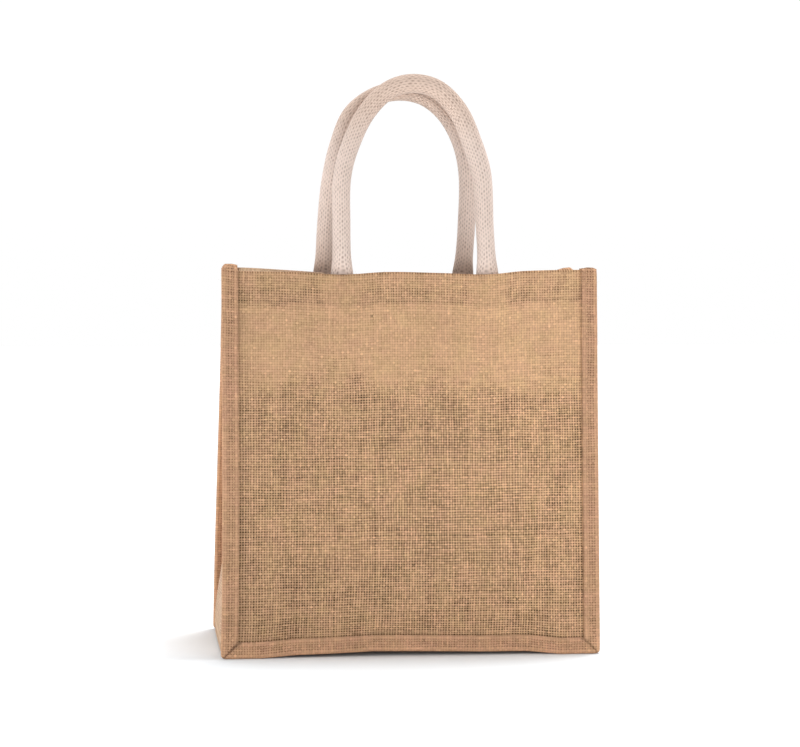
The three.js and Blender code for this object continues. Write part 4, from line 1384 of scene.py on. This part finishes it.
# %% Cotton webbing
def webbing_slits(add, flat, wander):
    """How much of a rib shows, and the dark slits between the ribs."""
    yarn = add("Math", flat.outputs["X"], 1 / (YARN_PITCH * MM), YARN_START, operation="MULTIPLY_ADD")
    yarn = add("Math", wander, YARN_WANDER["yarns"], yarn, operation="MULTIPLY_ADD")
    nearest = add("Math", add("Math", yarn, 0.5, operation="ADD"), operation="FLOOR")
    zigzag = add("Math", nearest, YARNS_IN_BAND, operation="PINGPONG")
    phase = add("Math", flat.outputs["Y"], 1 / (FLOAT_LENGTH * MM), operation="MULTIPLY")
    phase = add("Math", zigzag, FLOAT_STEP, phase, operation="MULTIPLY_ADD")
    phase = add("Math", wander, YARN_WANDER["floats"], phase, operation="MULTIPLY_ADD")
    between = bands(add, yarn)
    cell = add("CombineXYZ", *[add("Math", count, operation="ROUND") for count in (yarn, phase)])
    luck = add("TexWhiteNoise", cell, noise_dimensions="2D")
    luck = add("Math", luck, SLIT["luck"], SLIT["least"], operation="MULTIPLY_ADD")
    slit = add("Math", between, bands(add, phase), operation="MULTIPLY")
    return between, add("Math", slit, luck, operation="MULTIPLY")


def herringbone_cotton(name, colour, shaded_colour, slit_shade_colour):
    material, add, shader = new_material(name)
    uv = add("UVMap", uv_map="Cloth")
    flat = add("SeparateXYZ", uv)
    tone = add("Attribute", attribute_name="tone").outputs["Fac"]
    wander = add("TexNoise", uv, Scale=1 / (YARN_WANDER["size"] * MM), Detail=3.0)
    mottle = add("TexNoise", uv, Scale=1 / (MOTTLE["size"] * MM), Detail=4.0)
    fuzz = add("TexNoise", uv, Scale=1 / (FUZZ["size"] * MM), Detail=2.0)
    between, slit = webbing_slits(add, flat, wander)
    height = add("Math", between, -RIB_DEPTH, 1.0, operation="MULTIPLY_ADD")
    height = add("Math", slit, -SLIT["sunk"], height, operation="MULTIPLY_ADD")

    shade = add("Math", mottle, MOTTLE["depth"], COTTON_SHADE["least"], operation="MULTIPLY_ADD")
    # Painted shade: lighter where the ribs stand high
    shade = add("Math", height, COTTON_SHADE["height"], shade, operation="MULTIPLY_ADD")
    shade = add("Math", fuzz, FUZZ["depth"], shade, operation="MULTIPLY_ADD")
    base = add("Mix", tone, linear(colour), linear(shaded_colour), data_type="RGBA")
    yarns = add("VectorMath", base, shade, operation="SCALE")
    from_seam = add("Math", flat.outputs["X"], WEBBING_WIDTH / 2 * MM, operation="PINGPONG")
    # Painted shade along the seam
    groove = (SEAM_GROOVE_SHADE["from"] * MM, SEAM_GROOVE_SHADE["to"] * MM, SEAM_GROOVE_SHADE["dark"], 0.0)
    seam = add("MapRange", from_seam, *groove, interpolation_type="SMOOTHSTEP")
    # Painted shade in the slits and along the seam
    dark = add("Math", add("Math", slit, SLIT["dark"], operation="MULTIPLY"), seam, operation="MAXIMUM")
    mixed = add("Mix", dark, yarns, linear(slit_shade_colour), data_type="RGBA")
    surface = add("Math", fuzz, FUZZ["height"], height, operation="MULTIPLY_ADD")
    bump = add("Bump", Height=surface, **COTTON_BUMP)
    feed_all(shader, Base_Color=mixed, Normal=bump, **COTTON_SURFACE)
    return material


# Off-white webbing, its colour in painted shade, and the slits' colour in painted shade
cotton = herringbone_cotton("cotton_webbing", "D0BDB2", "B08E72", "7A6256")
print("webbing yarns:", YARN_PITCH, "mm apart")

# %% [markdown]
# ## Sewing thread
# The seams are sewn with a plied jute thread, a little paler than the cloth. Its two plies are twisted
# round each other, which shows as fine slanting lines across each stitch.

# %% Sewing thread
PLY_PITCH = 0.7
PLIES = {"Scale": 0.3 / (PLY_PITCH * MM), "Distortion": 1.0, "Detail": 1.0}
THREAD_BUMP = {"Strength": 0.3, "Distance": 0.1 * MM}
THREAD_SURFACE = {"Roughness": 0.85, "Specular_IOR_Level": 0.2}


def sewing_thread(name, pale_colour, dark_colour):
    material, add, shader = new_material(name)
    where = add("TexCoord").outputs["Object"]
    plies = add("TexWave", where, bands_direction="DIAGONAL", **PLIES).outputs["Fac"]
    colour = add("Mix", plies, linear(dark_colour), linear(pale_colour), data_type="RGBA")
    bump = add("Bump", Height=plies, **THREAD_BUMP)
    feed_all(shader, Base_Color=colour, Normal=bump, **THREAD_SURFACE)
    return material


thread = sewing_thread("jute_thread", "C8A684", "96704E")
print("thread plies:", PLY_PITCH, "mm apart")

# %% [markdown]
# ## Dress the pieces
# Every piece takes its material and rides on the bag's one body; sheets and handles hide the solid they stand
# for.
# The webbing is painted a little darker at the top of each arch, and at the foot of the back handle where it
# stands in the bag's shade, both as painted shade.

# %% Dress
# Painted shade: the webbing is darker at the top of each arch and at the foot of the back handle
HANDLE_PAINTED_SHADE = {"arch_top": 0.35, "back_root": 0.25}
ARCH_TOP_SHADE_HEIGHTS = (395, 445)
BACK_ROOT_SHADE_HEIGHTS = (296, 345)


def finish_piece(piece, material):
    piece.data.materials.clear()
    piece.data.materials.append(material)
    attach(piece, "root")


def dress_sheet(piece, node, material):
    finish_piece(piece, material)
    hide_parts(node)


for side, cloth in panels.items():
    dress_sheet(cloth, f"{side}_panel", jute)
for side, cloth in bindings.items():
    dress_sheet(cloth, f"{side}_binding", binding_jute)
dress_sheet(gusset_cloth, "gusset", gusset_jute_painted_light)
for node, size in FLAT_SIZES.items():
    print(node, "flat:", [round(value, 1) for value in size], "mm")

for trimmings, slot_name in ((stitch_rows, "binding"), (fibres, "jute")):
    for trimming in trimmings.values():
        finish_piece(trimming, thread)

for side, tube in handles.items():
    painted_shade = tube.data.attributes.new("tone", "FLOAT", "POINT")
    for vertex in tube.data.vertices:
        height = vertex.co.z / MM
        # Painted shade at the back handle's foot and at the top of each arch
        root = HANDLE_PAINTED_SHADE["back_root"] * (1 - ramp(height, *BACK_ROOT_SHADE_HEIGHTS)) if side == "back" else 0
        painted_shade.data[vertex.index].value = root + HANDLE_PAINTED_SHADE["arch_top"] * ramp(height, *ARCH_TOP_SHADE_HEIGHTS)
    finish_piece(tube, cotton)
    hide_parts(f"{side}_handle")

# %% [markdown]
# ## Floor
# The bag stands on a white studio floor, which is matt, so it shows only the soft shadow.

# %% Floor
FLOOR_SIZE = 16

bpy.ops.object.select_all(action="DESELECT")
bpy.ops.mesh.primitive_plane_add(size=FLOOR_SIZE)
floor = bpy.context.object
floor.name = "studio_floor"
floor_material, _, floor_shader = new_material("pale_floor")
feed_all(floor_shader, Base_Color=linear("EDF1F4"), Roughness=1.0, Specular_IOR_Level=0.0)
floor.data.materials.append(floor_material)
print("floor:", FLOOR_SIZE, "m wide")

# %% [markdown]
# ## Light
# Two soft lamps stand low in front and at the left, and light the cloth without a hard shadow on the floor.
# A wide soft light from above, behind and a little to the right makes the floor white, and leaves a short
# soft shadow to the left of the bag and in front of it. The room glows from behind, as a white backdrop
# does.

# %% Lamps
LAMPS = (
    ("front", (1.1, -2.1, 0.35), 1.0, 27),
    ("left", (-1.75, -0.7, 0.35), 0.8, 18),
)
LAMPS_AIM = Vector((0, 0, 0.2))

for name, spot, size, power in LAMPS:
    bpy.ops.object.light_add(type="AREA", location=spot)
    lamp = bpy.context.object
    lamp.name = name
    lamp.data.size = size
    lamp.data.energy = power
    lamp.visible_camera = False
    lamp.rotation_euler = (LAMPS_AIM - Vector(spot)).to_track_quat("-Z", "Y").to_euler()
    print(name, "lamp:", power, "W")

# %% Skylight
SKYLIGHT_FROM = (0.27, 0.3, 1.0)
SKYLIGHT_SPREAD = 32
SKYLIGHT_STRENGTH = 2.5

bpy.ops.object.light_add(type="SUN", location=[2 * value for value in SKYLIGHT_FROM])
skylight = bpy.context.object
skylight.name = "skylight"
skylight.data.angle = math.radians(SKYLIGHT_SPREAD)
skylight.data.energy = SKYLIGHT_STRENGTH
skylight.rotation_euler = (-Vector(SKYLIGHT_FROM)).to_track_quat("-Z", "Y").to_euler()
print("skylight:", SKYLIGHT_STRENGTH)

# %% Room
ROOM_GLOW = {"front": 0.15, "behind": 1.0, "above": 0.2}
GLOW_TURNS = (-0.5, 0.4)

world = bpy.context.scene.world or bpy.data.worlds.new("studio")
bpy.context.scene.world = world
world.use_nodes = True
add = partial(add_node, world.node_tree)
way = add("SeparateXYZ", add("TexCoord").outputs["Generated"])
from_to = (*GLOW_TURNS, ROOM_GLOW["front"], ROOM_GLOW["behind"])
glow = add("MapRange", way.outputs["Y"], *from_to, interpolation_type="SMOOTHSTEP")
above = add("Math", way.outputs["Z"], 0.0, operation="MAXIMUM")
glow = add("Math", above, ROOM_GLOW["above"], glow, operation="MULTIPLY_ADD")
feed_all(world.node_tree.nodes["Background"], Color=(1, 1, 1, 1), Strength=glow)
bpy.context.scene.view_settings.view_transform = "Standard"
print("room glow:", ROOM_GLOW)
